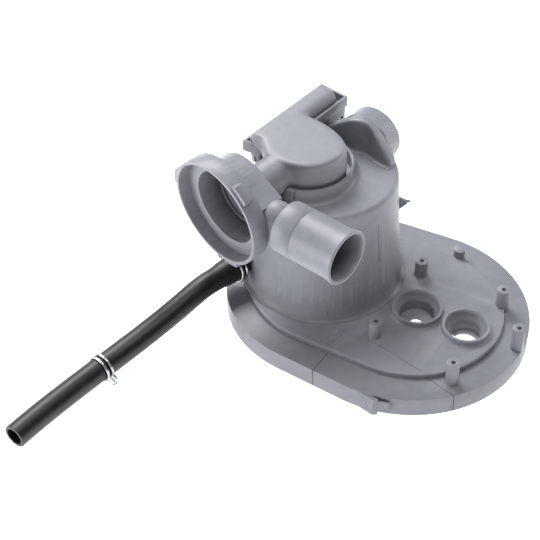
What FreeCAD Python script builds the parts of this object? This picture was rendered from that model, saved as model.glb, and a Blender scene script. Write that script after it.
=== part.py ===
import FreeCAD, Part
import math
import os
import Sketcher

# Dishwasher sump assembly, in millimetres, standing on the rim of its skirt.
# The origin is the centre of the filter seat, where the axis of the well meets the rim plane.
# +Z is up, and +X runs along the base from the well to the two socket cups.

doc = FreeCAD.newDocument("dishwasher_sump")
sheet = doc.addObject("Spreadsheet::Sheet", "Sizes")

# Driving sizes: a name, its value, and what it is
drivingSizes = [
    ("wall", 2.6, "wall of the mouldings"),
    ("fit_gap", 0.2, "gap left between pieces that seat on each other"),
    ("well_radius_top", 53.5, "outside of the well at its top"),
    ("well_radius_foot", 58.5, "outside of the well at its foot"),
    ("well_top", 115.0, "height of the top of the well"),
    ("well_edge_round", 3.5, "rounding of the top edge of the well"),
    ("foot_ring_radius", 61.4, "weld ring at the foot of the well"),
    ("foot_ring_height", 8.0, "height over which the foot of the well draws in"),
    ("seat_radius", 48.5, "bore of the filter seat"),
    ("base_axis_y", -7.0, "long axis of the base, beside the well"),
    ("base_left_x", 20.0, "centre of the left arc of the base"),
    ("base_left_radius", 88.0, "left arc of the base"),
    ("base_right_x", 75.6, "centre of the right arc of the base"),
    ("base_right_radius", 92.0, "right arc of the base"),
    ("flange_top", 15.6, "height of the flange"),
    ("skirt_wall", 2.6, "wall of the skirt"),
    ("plateau_top", 20.0, "height of the raised plateau"),
    ("plateau_left_x", 17.3, "centre of the left arc of the plateau"),
    ("plateau_left_radius", 68.8, "left arc of the plateau"),
    ("plateau_right_x", 79.2, "centre of the right arc of the plateau"),
    ("plateau_right_radius", 69.5, "right arc of the plateau"),
    ("plateau_round", 1.6, "rounding of the plateau edge"),
    ("cup_top", 24.5, "height of the cup rims"),
    ("cup_base", 6.0, "underside of the cups"),
    ("cup_floor", 3.0, "thickness of the cup floors"),
    ("cup_rim", 1.9, "wall of the cups at the rim"),
    ("large_cup_x", 84.0, "centre of the large cup"),
    ("large_cup_radius", 19.4, "outside of the large cup"),
    ("large_cup_bore", 13.2, "bore of the large cup"),
    ("large_cup_drain", 4.5, "drain hole of the large cup"),
    ("small_cup_x", 124.3, "centre of the small cup"),
    ("small_cup_radius", 18.0, "outside of the small cup"),
    ("small_cup_bore", 11.2, "bore of the small cup"),
    ("cup_ledge_top", 17.0, "height of the ledge inside the cups"),
    ("notch_width", 5.0, "bayonet notches of the small cup"),
    ("notch_depth", 2.2, "how deep the bayonet notches are"),
    ("boss_radius", 4.9, "outside of a screw boss"),
    ("boss_hole", 1.65, "pilot hole of a screw boss"),
    ("boss_hole_depth", 13.0, "depth of a pilot hole"),
    ("boss_near_x", 69.0, "pair of bosses beside the well"),
    ("boss_near_y", 30.0, "far boss of that pair"),
    ("boss_near_spacing", 76.0, "spacing of that pair"),
    ("boss_near_top", 34.2, "height of that pair"),
    ("boss_far_x", 136.5, "pair of bosses beyond the cups"),
    ("boss_far_y", 30.6, "far boss of that pair"),
    ("boss_far_spacing", 87.6, "spacing of that pair"),
    ("boss_far_top", 35.5, "height of that pair"),
    ("boss_end_x", 163.0, "single boss at the end of the base"),
    ("boss_end_y", -1.4, "place of that boss"),
    ("peg_x", 84.8, "solid peg at the back of the base"),
    ("peg_y", 65.0, "place of the peg"),
    ("peg_radius", 4.5, "radius of the peg"),
    ("peg_top", 26.3, "height of the peg"),
    ("gasket_height", 5.0, "height of the tub gasket"),
    ("gasket_width", 4.0, "width of the tub gasket"),
    ("ring_x", -11.0, "axis of the nose and its ring"),
    ("ring_y", -9.5, "axis of the nose and its ring"),
    ("ring_radius", 34.7, "outside of the ring on the well"),
    ("ring_wall", 2.0, "wall of the ring"),
    ("ring_straight_run", 19.1, "straight stretch of the ring on the pump side"),
    ("ring_height", 11.0, "height of the ring"),
    ("port_radius", 19.5, "suction port in the top of the well"),
    ("nose_radius", 30.6, "outside of the duct nose"),
    ("duct_rise", 31.0, "flat top of the duct above the top of the well"),
    ("duct_wall", 2.4, "wall of the duct"),
    ("duct_round", 4.0, "rounding of the duct's upper edges"),
    ("shoulder_step", 1.6, "step from the duct's top down to its shoulder"),
    ("channel_rise", 12.2, "underside of the flat channel above the top of the well"),
    ("box_angle", 80.0, "direction of the box branch"),
    ("box_width", 19.0, "width of the box branch"),
    ("box_offset", -38.0, "middle of the box branch, across its direction"),
    ("box_start", -31.0, "near end of the box branch, along its direction"),
    ("box_end", 50.0, "far end of the box branch, along its direction"),
    ("tray_lip_gap", 1.2, "gap between the box branch and the lip of the tray"),
    ("tray_lip", 2.0, "wall of the tray lip"),
    ("tray_lip_rise", 23.0, "top of the tray lip above the top of the well"),
    ("tray_rise", 14.4, "underside of the tray above the top of the well"),
    ("neck_width", 11.0, "width of the body under the tray"),
    ("tray_margin", 5.0, "how far the tray runs on at each end"),
    ("barrel_radius", 14.5, "outside of the suction barrel"),
    ("barrel_root", 21.4, "start of the barrel inside the nose, from its middle"),
    ("pump_angle", 252.0, "direction that the pump socket faces"),
    ("pump_tilt", -4.8, "slope of the pump axis"),
    ("pump_reach", 87.9, "distance from the ring axis to the collar's face"),
    ("pump_rise", 10.5, "middle of the collar's face above the top of the well"),
    ("collar_radius", 41.4, "outside of the pump collar"),
    ("collar_depth", 13.4, "depth of the collar"),
    ("socket_radius", 39.0, "bore of the pump socket"),
    ("socket_depth", 9.6, "depth of the pump socket"),
    ("volute_radius", 31.2, "outside of the volute"),
    ("volute_bore", 28.8, "bore of the volute"),
    ("volute_depth", 33.0, "depth of the volute from the collar's face"),
    ("eye_radius", 12.0, "suction eye in the rear wall of the volute"),
    ("lug_angle", 50.5, "direction of the first bayonet lug"),
    ("lug_width", 16.0, "width of a bayonet lug"),
    ("lug_crown_width", 12.8, "width of a lug at its crown"),
    ("lug_height", 4.2, "how far a bayonet lug stands out"),
    ("lug_depth", 8.0, "length of a bayonet lug"),
    ("lug_length", 6.4, "length of a lug along the axis"),
    ("tail_x", 35.0, "corner of the volute's flat tail"),
    ("tail_y", 16.5, "corner of the volute's flat tail"),
    ("tail_low", 9.0, "lower corner of the tail"),
    ("tail_slant", 36.87, "where the tail leaves the volute, below the axis in degrees"),
    ("tube_radius", 20.4, "outside of the outlet tube"),
    ("tube_wall", 2.6, "wall of the outlet tube"),
    ("tube_angle", -11.8, "direction of the outlet tube"),
    ("tube_x", 66.2, "mouth of the outlet tube"),
    ("tube_y", -92.0, "mouth of the outlet tube"),
    ("tube_z", 130.3, "height of the outlet tube"),
    ("tube_length", 49.5, "from the mouth to the mould line"),
    ("mould_step", 0.4, "step down from the tube to the elbow at the mould line"),
    ("hood_angle", 83.0, "direction of the angled tube"),
    ("hood_radius", 21.8, "outside of the angled tube"),
    ("hood_x", 12.2, "mouth of the angled tube"),
    ("hood_y", 55.0, "mouth of the angled tube"),
    ("hood_z", 118.5, "height of the angled tube"),
    ("hood_stub", 15.5, "from the mouth to the bead"),
    ("hood_bead", 1.0, "how far the bead stands out"),
    ("hood_run", 8.0, "from the bead to the front of the hood"),
    ("hood_margin", 2.6, "how much wider than the tube the hood is"),
    ("spigot_x", -46.0, "root of the drain spigot"),
    ("spigot_y", -35.6, "root of the drain spigot"),
    ("spigot_z", 35.0, "height of the drain spigot"),
    ("spigot_angle", 252.5, "direction of the drain spigot"),
    ("spigot_radius", 8.0, "outside of the drain spigot"),
    ("spigot_bore", 6.0, "bore of the drain spigot"),
    ("spigot_reach", 24.0, "length of the drain spigot from its root"),
    ("chamber_radius", 11.0, "outside of the valve chamber"),
    ("chamber_bore", 9.6, "bore of the valve chamber"),
    ("chamber_start", 16.0, "from the root of the spigot in to the chamber"),
    ("chamber_length", 20.0, "length of the valve chamber"),
    ("seat_thickness", 3.0, "thickness of the valve seat"),
    ("seat_bore", 5.2, "bore of the valve seat"),
    ("ear_inside", 3.4, "from the middle of the seat to its ears"),
    ("ear_outside", 4.6, "outside of those ears"),
    ("flap_radius", 5.9, "radius of the non-return flap"),
    ("flap_thickness", 1.6, "thickness of the flap"),
    ("pin_height", 6.9, "hinge pin above the middle of the seat"),
    ("pin_offset", 2.1, "hinge pin in front of the seat"),
    ("pin_radius", 0.9, "radius of the flap's pin"),
    ("knuckle_radius", 1.8, "outside of the flap's knuckle"),
    ("pin_clearance", 0.08, "running clearance of the flap on its pin"),
    ("hose_radius", 9.0, "outside of the drain hose"),
    ("hose_bore", 6.5, "bore of the drain hose"),
    ("cuff_radius", 10.4, "outside of the hose where it is stretched over the spigot"),
    ("cuff_start", 7.5, "from the root of the spigot to the hose"),
    ("cuff_length", 16.5, "stretch of hose over the spigot"),
    ("cuff_taper", 6.0, "where the hose narrows past the spigot"),
    ("wire_radius", 0.95, "wire of the hose clamps"),
    ("wire_spacing", 4.2, "spacing of the two wires of a clamp"),
    ("ear_angle", 30.0, "angle between the ears of a clamp"),
    ("clamp_ear", 6.5, "how far the ears of a clamp stand out"),
    ("clamp_gap", 0.1, "gap between a clamp and its hose"),
    ("clamp_seat", 13.0, "from the root of the spigot to the near clamp"),
    ("near_ear_turn", 163.0, "where the ears of the near clamp point"),
    ("far_ear_turn", 337.0, "where the ears of the far clamp point"),
    ("seal_thickness", 0.7, "thickness of the flat seal under the nose"),
    ("seal_width", 4.0, "width of that seal"),
    ("box_rise", 16.6, "lower edge of the box branch above the top of the well"),
    ("neck_start", -26.0, "near end of the body under the tray"),
    ("neck_end", 24.0, "far end of the body under the tray"),
    ("leg_drop", 29.0, "height of the far leg, which stands behind the well"),
    ("leg_width", 8.0, "width of the leg at each end of the tray"),
    ("leg_groove", 3.0, "groove through each leg"),
    ("lug_second", 171.0, "direction of the second bayonet lug"),
    ("lug_third", 283.0, "direction of the third bayonet lug"),
    ("ledge_radius", 20.0, "ledge in the rear wall of the volute"),
    ("ledge_depth", 24.0, "depth of that ledge from the collar's face"),
    ("eye_depth", 25.6, "depth of the eye's face from the collar's face"),
    ("ledge_wall", 3.0, "thickness of the rear wall"),
    ("barrel_seat", 3.0, "how far the barrel goes into the rear wall"),
    ("saddle_width", 24.0, "width of the saddle under the volute"),
    ("saddle_top", -18.0, "top of the saddle below the pump axis"),
    ("saddle_height", 13.0, "height of the saddle"),
    ("saddle_run", 22.0, "length of the saddle"),
    ("dome_radius", 10.5, "rounded dome of the elbow"),
    ("dome_across", 40.3, "middle of that dome, across the pump axis"),
    ("dome_up", 8.6, "middle of that dome above the pump axis"),
    ("dome_depth", 24.3, "middle of that dome from the collar's face"),
    ("elbow_end", 58.0, "closed end of the elbow, from the mouth of the tube"),
    ("elbow_round", 3.5, "rounding of the elbow's closed end"),
    ("elbow_drop", 16.0, "how far the dome runs down behind the tube"),
    ("wing_height", 15.6, "height of the plate that runs on from the front of the skirt"),
    ("tab_base", 5.0, "underside of the tab beside that plate"),
    ("tab_height", 8.5, "height of that tab"),
    ("latch_start", -14.9, "left end of the latch on the ring"),
    ("latch_end", -1.7, "right end of the latch on the ring"),
    ("latch_thickness", 2.0, "thickness of the latch"),
    ("latch_base", 117.0, "underside of the latch"),
    ("hook_angle", 30.0, "direction of the hook on the well"),
    ("hook_base", 76.0, "underside of the hook"),
    ("hook_height", 15.0, "height of the hook"),
    ("hook_reach", 60.5, "how far the hook stands from the axis of the well"),
    ("hook_width", 3.4, "thickness of the hook"),
    ("hook_peg_rise", 10.0, "peg above the underside of the hook"),
    ("hook_peg_radius", 1.6, "radius of that peg"),
    ("hook_peg_reach", 63.5, "end of that peg"),
]

for row, (alias, value, meaning) in enumerate(drivingSizes, start=1):
    sheet.set("A%d" % row, meaning)
    sheet.set("B%d" % row, str(value))
    sheet.setAlias("B%d" % row, alias)
doc.recompute()


class Size:
    # A length or angle that knows both its number and its expression on the sheet

    def __init__(self, value, text):
        self.value = float(value)
        self.text = text

    def __add__(self, other):
        other = asSize(other)
        return Size(self.value + other.value, "(%s + %s)" % (self.text, other.text))

    def __sub__(self, other):
        other = asSize(other)
        return Size(self.value - other.value, "(%s - %s)" % (self.text, other.text))

    def __mul__(self, other):
        other = asSize(other)
        return Size(self.value * other.value, "(%s * %s)" % (self.text, other.text))

    def __truediv__(self, divisor):
        return Size(self.value / divisor, "(%s / %s)" % (self.text, divisor))

    def __neg__(self):
        return Size(-self.value, "(-1 * %s)" % self.text)


def cosine(angle):
    return Size(math.cos(math.radians(asSize(angle).value)), "cos(%s * 1 deg)" % asSize(angle).text)


def sine(angle):
    return Size(math.sin(math.radians(asSize(angle).value)), "sin(%s * 1 deg)" % asSize(angle).text)


def asSize(number):
    return number if isinstance(number, Size) else Size(number, "(%s)" % number)


def size(alias):
    return Size(sheet.get(alias), "Sizes.%s" % alias)


def vector(x, y, z=0.0):
    return FreeCAD.Vector(asSize(x).value, asSize(y).value, asSize(z).value)


def heading(angle, tilt=0.0):
    # Unit vector in the direction of a compass angle, with a slope in degrees
    level = math.cos(math.radians(tilt))
    turn = math.radians(angle)
    return FreeCAD.Vector(math.cos(turn) * level, math.sin(turn) * level, math.sin(math.radians(tilt)))


def place(piece, x, y, z, rotation=None):
    # Put a piece at a point of the sheet, with its place bound to the sheet
    turned = rotation if rotation else FreeCAD.Rotation()
    piece.Placement = FreeCAD.Placement(vector(x, y, z), turned)
    for letter, amount in zip("xyz", (x, y, z)):
        piece.setExpression("Placement.Base." + letter, asSize(amount).text)


def bind(piece, **amounts):
    for name, amount in amounts.items():
        setattr(piece, name, asSize(amount).value)
        piece.setExpression(name, asSize(amount).text)
    return piece


# Primitives and booleans

def cylinder(name, radius, height, x=0, y=0, z=0, rotation=None):
    piece = bind(doc.addObject("Part::Cylinder", name), Radius=radius, Height=height)
    place(piece, x, y, z, rotation)
    return piece


def cone(name, lowRadius, highRadius, height, x=0, y=0, z=0, rotation=None):
    piece = bind(doc.addObject("Part::Cone", name), Radius1=lowRadius, Radius2=highRadius, Height=height)
    place(piece, x, y, z, rotation)
    return piece


def box(name, length, width, height, x=0, y=0, z=0, rotation=None):
    piece = bind(doc.addObject("Part::Box", name), Length=length, Width=width, Height=height)
    place(piece, x, y, z, rotation)
    return piece


def fuse(name, pieces):
    piece = doc.addObject("Part::MultiFuse", name)
    piece.Shapes = pieces
    return piece


def cut(name, base, tool):
    piece = doc.addObject("Part::Cut", name)
    piece.Base = base
    piece.Tool = tool
    return piece


# Sketches and features

def newBody(label):
    body = doc.addObject("PartDesign::Body", label)
    body.Label = label
    return body


def sketchOn(body, name, role="XY_Plane", height=None):
    sketch = body.newObject("Sketcher::SketchObject", name)
    plane = [feature for feature in body.Origin.OriginFeatures if feature.Role == role][0]
    sketch.AttachmentSupport = [(plane, "")]
    sketch.MapMode = "FlatFace"
    if height is not None:
        sketch.AttachmentOffset = FreeCAD.Placement(vector(0, 0, height), FreeCAD.Rotation())
        sketch.setExpression("AttachmentOffset.Base.z", asSize(height).text)
    return sketch


def pin(sketch, item, point, x, y):
    for kind, amount in (("DistanceX", asSize(x)), ("DistanceY", asSize(y))):
        index = sketch.addConstraint(Sketcher.Constraint(kind, item, point, amount.value))
        sketch.setExpression("Constraints[%d]" % index, amount.text)


def polygon(sketch, points):
    first = sketch.GeometryCount
    count = len(points)
    for index in range(count):
        start = vector(*points[index])
        end = vector(*points[(index + 1) % count])
        sketch.addGeometry(Part.LineSegment(start, end), False)
    for index in range(count):
        following = first + (index + 1) % count
        sketch.addConstraint(Sketcher.Constraint("Coincident", first + index, 2, following, 1))
        pin(sketch, first + index, 1, *points[index])


def radiusOf(sketch, item, radius):
    index = sketch.addConstraint(Sketcher.Constraint("Radius", item, radius.value))
    sketch.setExpression("Constraints[%d]" % index, radius.text)


def circle(sketch, x, y, radius):
    item = sketch.addGeometry(Part.Circle(vector(x, y), FreeCAD.Vector(0, 0, 1), radius.value), False)
    pin(sketch, item, 3, x, y)
    radiusOf(sketch, item, radius)


def stadium(sketch, leftX, leftRadius, rightX, rightRadius, y):
    # Two arcs joined by their two common tangents
    spread = rightX.value - leftX.value
    lean = math.acos((leftRadius.value - rightRadius.value) / spread)
    normal = FreeCAD.Vector(0, 0, 1)
    leftCircle = Part.Circle(vector(leftX, y), normal, leftRadius.value)
    rightCircle = Part.Circle(vector(rightX, y), normal, rightRadius.value)
    left = sketch.addGeometry(Part.ArcOfCircle(leftCircle, lean, 2 * math.pi - lean), False)
    right = sketch.addGeometry(Part.ArcOfCircle(rightCircle, -lean, lean), False)
    leftTop = leftCircle.value(lean)
    leftLow = leftCircle.value(-lean)
    top = sketch.addGeometry(Part.LineSegment(rightCircle.value(lean), leftTop), False)
    low = sketch.addGeometry(Part.LineSegment(leftLow, rightCircle.value(-lean)), False)
    joins = ((top, 2, left, 1), (left, 2, low, 1), (low, 2, right, 1), (right, 2, top, 1))
    for item, point, other, otherPoint in joins:
        sketch.addConstraint(Sketcher.Constraint("Tangent", item, point, other, otherPoint))
    pin(sketch, left, 3, leftX, y)
    pin(sketch, right, 3, rightX, y)
    radiusOf(sketch, left, leftRadius)
    radiusOf(sketch, right, rightRadius)


def pad(body, sketch, length):
    feature = body.newObject("PartDesign::Pad", sketch.Name + "_pad")
    feature.Profile = sketch
    return bind(feature, Length=length)


def pocket(body, sketch, length, upwards=False):
    before = body.Tip
    feature = body.newObject("PartDesign::Pocket", sketch.Name + "_pocket")
    feature.Profile = sketch
    feature.Reversed = upwards
    bind(feature, Length=length)
    doc.recompute()
    if feature.Shape.Volume >= before.Shape.Volume:
        raise ValueError("%s cuts nothing" % feature.Name)
    return feature


def revolve(body, sketch):
    feature = body.newObject("PartDesign::Revolution", sketch.Name + "_turned")
    feature.Profile = sketch
    feature.ReferenceAxis = (sketch, ["V_Axis"])
    feature.Angle = 360.0
    return feature


def turned(label, points):
    # A body turned about its own Z from a half section of radius and height
    body = newBody(label)
    sketch = sketchOn(body, label + "_section", "XZ_Plane")
    polygon(sketch, points)
    revolve(body, sketch)
    return body


def roundEdges(body, radius, wanted):
    # Round the edges of the body's last shape that the test picks
    doc.recompute()
    base = body.Tip
    names = ["Edge%d" % number for number, edge in enumerate(base.Shape.Edges, start=1) if wanted(edge)]
    feature = body.newObject("PartDesign::Fillet", base.Name + "_round")
    feature.Base = (base, names)
    return bind(feature, Radius=radius)


def solidFeature(label, shape):
    piece = doc.addObject("Part::Feature", label)
    piece.Label = label
    piece.Shape = shape
    piece.Placement = FreeCAD.Placement()
    return piece


wall = size("wall")
gap = size("fit_gap")
baseY = size("base_axis_y")
ringX = size("ring_x")
ringY = size("ring_y")
subparts = []


# Base plate: flange, skirt, plateau, filter seat, cups and bosses

def makeBasePlate():
    body = newBody("base_plate")
    flangeTop = size("flange_top")
    plateauTop = size("plateau_top")
    leftX = size("base_left_x")
    rightX = size("base_right_x")
    skirt = size("skirt_wall")

    outline = sketchOn(body, "flange_outline")
    stadium(outline, leftX, size("base_left_radius"), rightX, size("base_right_radius"), baseY)
    pad(body, outline, flangeTop)

    plateau = sketchOn(body, "plateau_outline", height=flangeTop - wall)
    plateauLeft = size("plateau_left_radius")
    plateauRight = size("plateau_right_radius")
    stadium(plateau, size("plateau_left_x"), plateauLeft, size("plateau_right_x"), plateauRight, baseY)
    pad(body, plateau, plateauTop - flangeTop + wall)
    roundEdges(body, size("plateau_round"),
               lambda edge: edge.BoundBox.ZMin > plateauTop.value - 0.01)
    platform = sketchOn(body, "well_platform", height=flangeTop - wall)
    circle(platform, 0, 0, size("foot_ring_radius"))
    pad(body, platform, plateauTop - flangeTop + wall)

    hollow = sketchOn(body, "skirt_hollow")
    stadium(hollow, leftX, size("base_left_radius") - skirt, rightX, size("base_right_radius") - skirt, baseY)
    pocket(body, hollow, flangeTop - wall, upwards=True)

    under = sketchOn(body, "plateau_hollow", height=flangeTop - wall)
    stadium(under, size("plateau_left_x"), plateauLeft - wall, size("plateau_right_x"), plateauRight - wall,
            baseY)
    pocket(body, under, plateauTop - flangeTop, upwards=True)

    underWell = sketchOn(body, "well_hollow", height=flangeTop - wall)
    circle(underWell, 0, 0, size("foot_ring_radius") - wall)
    pocket(body, underWell, plateauTop - flangeTop, upwards=True)

    seat = sketchOn(body, "filter_seat_wall")
    circle(seat, 0, 0, size("seat_radius") + wall)
    pad(body, seat, plateauTop)
    mouth = sketchOn(body, "filter_seat_bore")
    circle(mouth, 0, 0, size("seat_radius"))
    pocket(body, mouth, plateauTop, upwards=True)

    cupTop = size("cup_top")
    cupBase = size("cup_base")
    ledge = size("cup_ledge_top")
    for name in ("large_cup", "small_cup"):
        x = size(name + "_x")
        radius = size(name + "_radius")
        bore = size(name + "_bore")
        outside = sketchOn(body, name + "_wall", height=cupBase)
        circle(outside, x, baseY, radius)
        pad(body, outside, cupTop - cupBase)
        inside = sketchOn(body, name + "_mouth", height=cupTop)
        circle(inside, x, baseY, radius - size("cup_rim"))
        pocket(body, inside, cupTop - ledge)
        bored = sketchOn(body, name + "_bore", height=ledge)
        circle(bored, x, baseY, bore)
        pocket(body, bored, ledge - cupBase - size("cup_floor"))

    drain = sketchOn(body, "large_cup_hole", height=cupBase)
    circle(drain, size("large_cup_x"), baseY, size("large_cup_drain"))
    pocket(body, drain, size("cup_floor"), upwards=True)
    through = sketchOn(body, "small_cup_hole", height=cupBase)
    circle(through, size("small_cup_x"), baseY, size("small_cup_bore") - size("notch_depth"))
    pocket(body, through, size("cup_floor"), upwards=True)
    notches = sketchOn(body, "small_cup_notches", height=cupBase)
    half = size("notch_width") / 2
    reach = size("small_cup_bore")
    centre = size("small_cup_x")
    polygon(notches, [(centre - reach, baseY - half), (centre + reach, baseY - half),
                      (centre + reach, baseY + half), (centre - reach, baseY + half)])
    pocket(body, notches, size("cup_floor"), upwards=True)

    nearTop = size("boss_near_top")
    farTop = size("boss_far_top")
    foot = flangeTop - wall
    bosses = [
        ("near_pair", size("boss_near_x"), size("boss_near_y"), size("boss_near_spacing"), nearTop),
        ("far_pair", size("boss_far_x"), size("boss_far_y"), size("boss_far_spacing"), farTop),
        ("end_boss", size("boss_end_x"), size("boss_end_y"), None, farTop),
    ]
    for name, x, y, spacing, top in bosses:
        places = [y] if spacing is None else [y, y - spacing]
        post = sketchOn(body, name + "_posts", height=foot)
        for place_y in places:
            circle(post, x, place_y, size("boss_radius"))
        pad(body, post, top - foot)
        hole = sketchOn(body, name + "_holes", height=top)
        for place_y in places:
            circle(hole, x, place_y, size("boss_hole"))
        pocket(body, hole, size("boss_hole_depth"))
    peg = sketchOn(body, "peg", height=flangeTop - wall)
    circle(peg, size("peg_x"), size("peg_y"), size("peg_radius"))
    pad(body, peg, size("peg_top") - flangeTop + wall)

    # Plate that runs on past the front of the skirt, a tab beside it, and the gap in the skirt behind them
    wing = sketchOn(body, "skirt_wing")
    polygon(wing, wingOutline)
    pad(body, wing, size("wing_height"))
    tab = sketchOn(body, "skirt_tab", height=size("tab_base"))
    polygon(tab, tabOutline)
    pad(body, tab, size("tab_height"))
    slot = sketchOn(body, "skirt_gap")
    polygon(slot, skirtGap)
    pocket(body, slot, flangeTop - wall, upwards=True)
    return body


wingOutline = [(81.9, -98.4), (95.9, -101.2), (98.9, -98.7), (83.0, -96.0)]
tabOutline = [(97.0, -99.9), (106.0, -97.2), (106.6, -95.6), (97.6, -98.3)]
skirtGap = [(99.6, -95.4), (106.6, -93.4), (105.0, -86.0), (98.0, -88.0)]
subparts.append(makeBasePlate())


# Frames: Z points out along an axis, X is level and Y points up

def facing(angle, tilt=0.0):
    outward = heading(angle, tilt)
    level = FreeCAD.Vector(-outward.y, outward.x, 0).normalize()
    return FreeCAD.Rotation(level, outward.cross(level), outward, "ZXY")


def within(frame, x, y, z, rotation=None):
    # Place and rotation in the model of something given in a frame
    point = frame.multVec(vector(x, y, z))
    turn = frame.Rotation.multiply(rotation) if rotation else frame.Rotation
    return point.x, point.y, point.z, turn


def pumpPoint(reach):
    # Point on the pump axis at a distance from the axis of the ring
    slope = math.radians(size("pump_tilt").value)
    outward = heading(size("pump_angle").value, size("pump_tilt").value)
    drop = (size("pump_reach").value - reach) * math.sin(slope)
    level = math.cos(slope)
    return FreeCAD.Vector(ringX.value + outward.x * reach, ringY.value + outward.y * reach,
                          (size("well_top") + size("pump_rise")).value - drop * level)


crossways = FreeCAD.Rotation(FreeCAD.Vector(0, 1, 0), 90)
pumpFrame = FreeCAD.Placement(pumpPoint(size("pump_reach").value),
                              facing(size("pump_angle").value, size("pump_tilt").value))
tubeFrame = FreeCAD.Placement(vector(size("tube_x"), size("tube_y"), size("tube_z")),
                              facing(size("tube_angle").value))
hoodFrame = FreeCAD.Placement(vector(size("hood_x"), size("hood_y"), size("hood_z")),
                              facing(size("hood_angle").value))
spigotFrame = FreeCAD.Placement(vector(size("spigot_x"), size("spigot_y"), size("spigot_z")),
                                facing(size("spigot_angle").value))
hookFrame = FreeCAD.Placement(FreeCAD.Vector(), facing(size("hook_angle").value))


def tubeAlong(name, frame, radius, start, length):
    return cylinder(name, radius, length, *within(frame, 0, 0, start))


def named(piece, label):
    piece.Label = label
    return piece


# Well: the pot with its weld ring, the ring round the nose and the rest of the pump

def wellCone(name, inset=0.0):
    height = size("well_top") - size("plateau_top")
    return cone(name, size("well_radius_foot") - inset, size("well_radius_top") - inset, height - inset,
                z=size("plateau_top"))


def makeWell():
    plateauTop = size("plateau_top")
    top = size("well_top")
    outside = wellCone("well_outside")
    doc.recompute()
    edges = [number for number, edge in enumerate(outside.Shape.Edges, start=1)
             if edge.BoundBox.ZMin > top.value - 0.01]
    rounded = doc.addObject("Part::Fillet", "well_rounded")
    rounded.Base = outside
    rounding = size("well_edge_round").value
    rounded.Edges = [(number, rounding, rounding) for number in edges]

    # Recess behind the hood, which lets a hose on to the angled tube
    halfWidth = size("hood_radius") + size("hood_margin")
    stub = size("hood_stub")

    def recess(name, margin):
        side = halfWidth + margin
        return box(name, side * 2, size("well_radius_top"), stub * 4,
                   *within(hoodFrame, -side, -side, -(stub + margin)))

    shell = cut("well_shell", rounded, recess("recess", asSize(0)))
    hollow = cut("well_hollow", wellCone("well_inside", wall), recess("recess_wall", wall))

    # Rest under the volute
    depth = size("volute_depth")
    saddleRun = size("saddle_run")
    saddle = box("saddle", size("saddle_width"), size("saddle_height"), saddleRun,
                 *within(pumpFrame, -size("saddle_width") / 2, size("saddle_top") - size("saddle_height"),
                         -(depth + saddleRun)))
    # Ring round the nose, with a straight stretch on the pump side
    ringRadius = size("ring_radius")
    ringHeight = size("ring_height")
    ring = cylinder("ring_outside", ringRadius, ringHeight, ringX, ringY, top)
    straightRun = size("ring_straight_run")
    straight = box("ring_straight", straightRun, size("ring_wall"), ringHeight,
                   ringX - straightRun, ringY - ringRadius, top)
    ringInside = cylinder("ring_inside", ringRadius - size("ring_wall"), ringHeight, ringX, ringY, top)
    notch = tubeAlong("barrel_notch", pumpFrame, size("barrel_radius") + gap * 2, -size("pump_reach"),
                      size("pump_reach"))
    ringOpenings = fuse("ring_openings", [ringInside, notch])
    ringWall = cut("ring_wall_open", fuse("ring_walls", [ring, straight]), ringOpenings)

    footRing = cone("foot_ring", size("foot_ring_radius"), size("well_radius_foot") - wall / 2,
                    size("foot_ring_height"), z=plateauTop)
    solid = fuse("well_solid", [shell, footRing, saddle])
    port = cylinder("suction_port", size("port_radius"), wall * 3, ringX, ringY, top - wall * 2)
    run = size("hood_run")
    hoodPort = tubeAlong("hood_port", hoodFrame, size("hood_radius") - wall, -(stub + run), stub + run)
    hole = tubeAlong("spigot_hole", spigotFrame, size("spigot_radius") + gap, -size("chamber_start"),
                     size("chamber_start") * 2)
    hollowed = cut("well_hollowed", solid, fuse("well_openings", [hollow, port, hoodPort, hole]))
    return named(fuse("sump_well", [hollowed, ringWall]), "sump_well")


subparts.append(makeWell())


# Pump socket with its bayonet lugs, and the rear wall of the volute

def makePumpHousing():
    face = asSize(0)
    collar = size("collar_radius")
    collarDepth = size("collar_depth")
    volute = size("volute_radius")
    bore = size("volute_bore")
    depth = size("volute_depth")
    floor = size("socket_depth")
    body = turned("pump_housing", [
        (collar, face), (collar, -collarDepth), (volute, -collarDepth), (volute, -depth),
        (bore, -depth), (bore, -floor), (size("socket_radius"), -floor), (size("socket_radius"), face)])
    tail = sketchOn(body, "tail", height=-depth)
    tailX = size("tail_x")
    tailY = size("tail_y")
    slant = size("lug_angle")
    polygon(tail, [(cosine(slant) * volute, sine(slant) * volute), (tailX, tailY), (tailX, -size("tail_low")),
                   (cosine(size("tail_slant")) * volute, -(sine(size("tail_slant")) * volute))])
    pad(body, tail, depth - collarDepth)
    clear = sketchOn(body, "volute_bore", height=-depth)
    circle(clear, 0, 0, bore)
    pocket(body, clear, depth - collarDepth, upwards=True)
    outlet = sketchOn(body, "volute_outlet", height=wall - depth)
    polygon(outlet, [(volute / 2, wall - size("tail_low")), (tailX + wall, wall - size("tail_low")),
                     (tailX + wall, tailY - wall * 2), (volute / 2, tailY - wall * 2)])
    pocket(body, outlet, depth - collarDepth - wall * 2, upwards=True)
    half = size("lug_width") / 2
    halfCrown = size("lug_crown_width") / 2
    root = collar - wall / 2
    crown = collar + size("lug_height")
    for index, angle in enumerate((size("lug_angle"), size("lug_second"), size("lug_third")), start=1):
        lug = sketchOn(body, "lug_%d" % index, height=-size("lug_depth"))
        corners = []
        for out, side in ((root, -half), (crown, -halfCrown), (crown, halfCrown), (root, half)):
            corners.append((cosine(angle) * out - sine(angle) * side, sine(angle) * out + cosine(angle) * side))
        polygon(lug, corners)
        pad(body, lug, size("lug_length"))
    place(body, *within(pumpFrame, 0, 0, 0))
    return body


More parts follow.
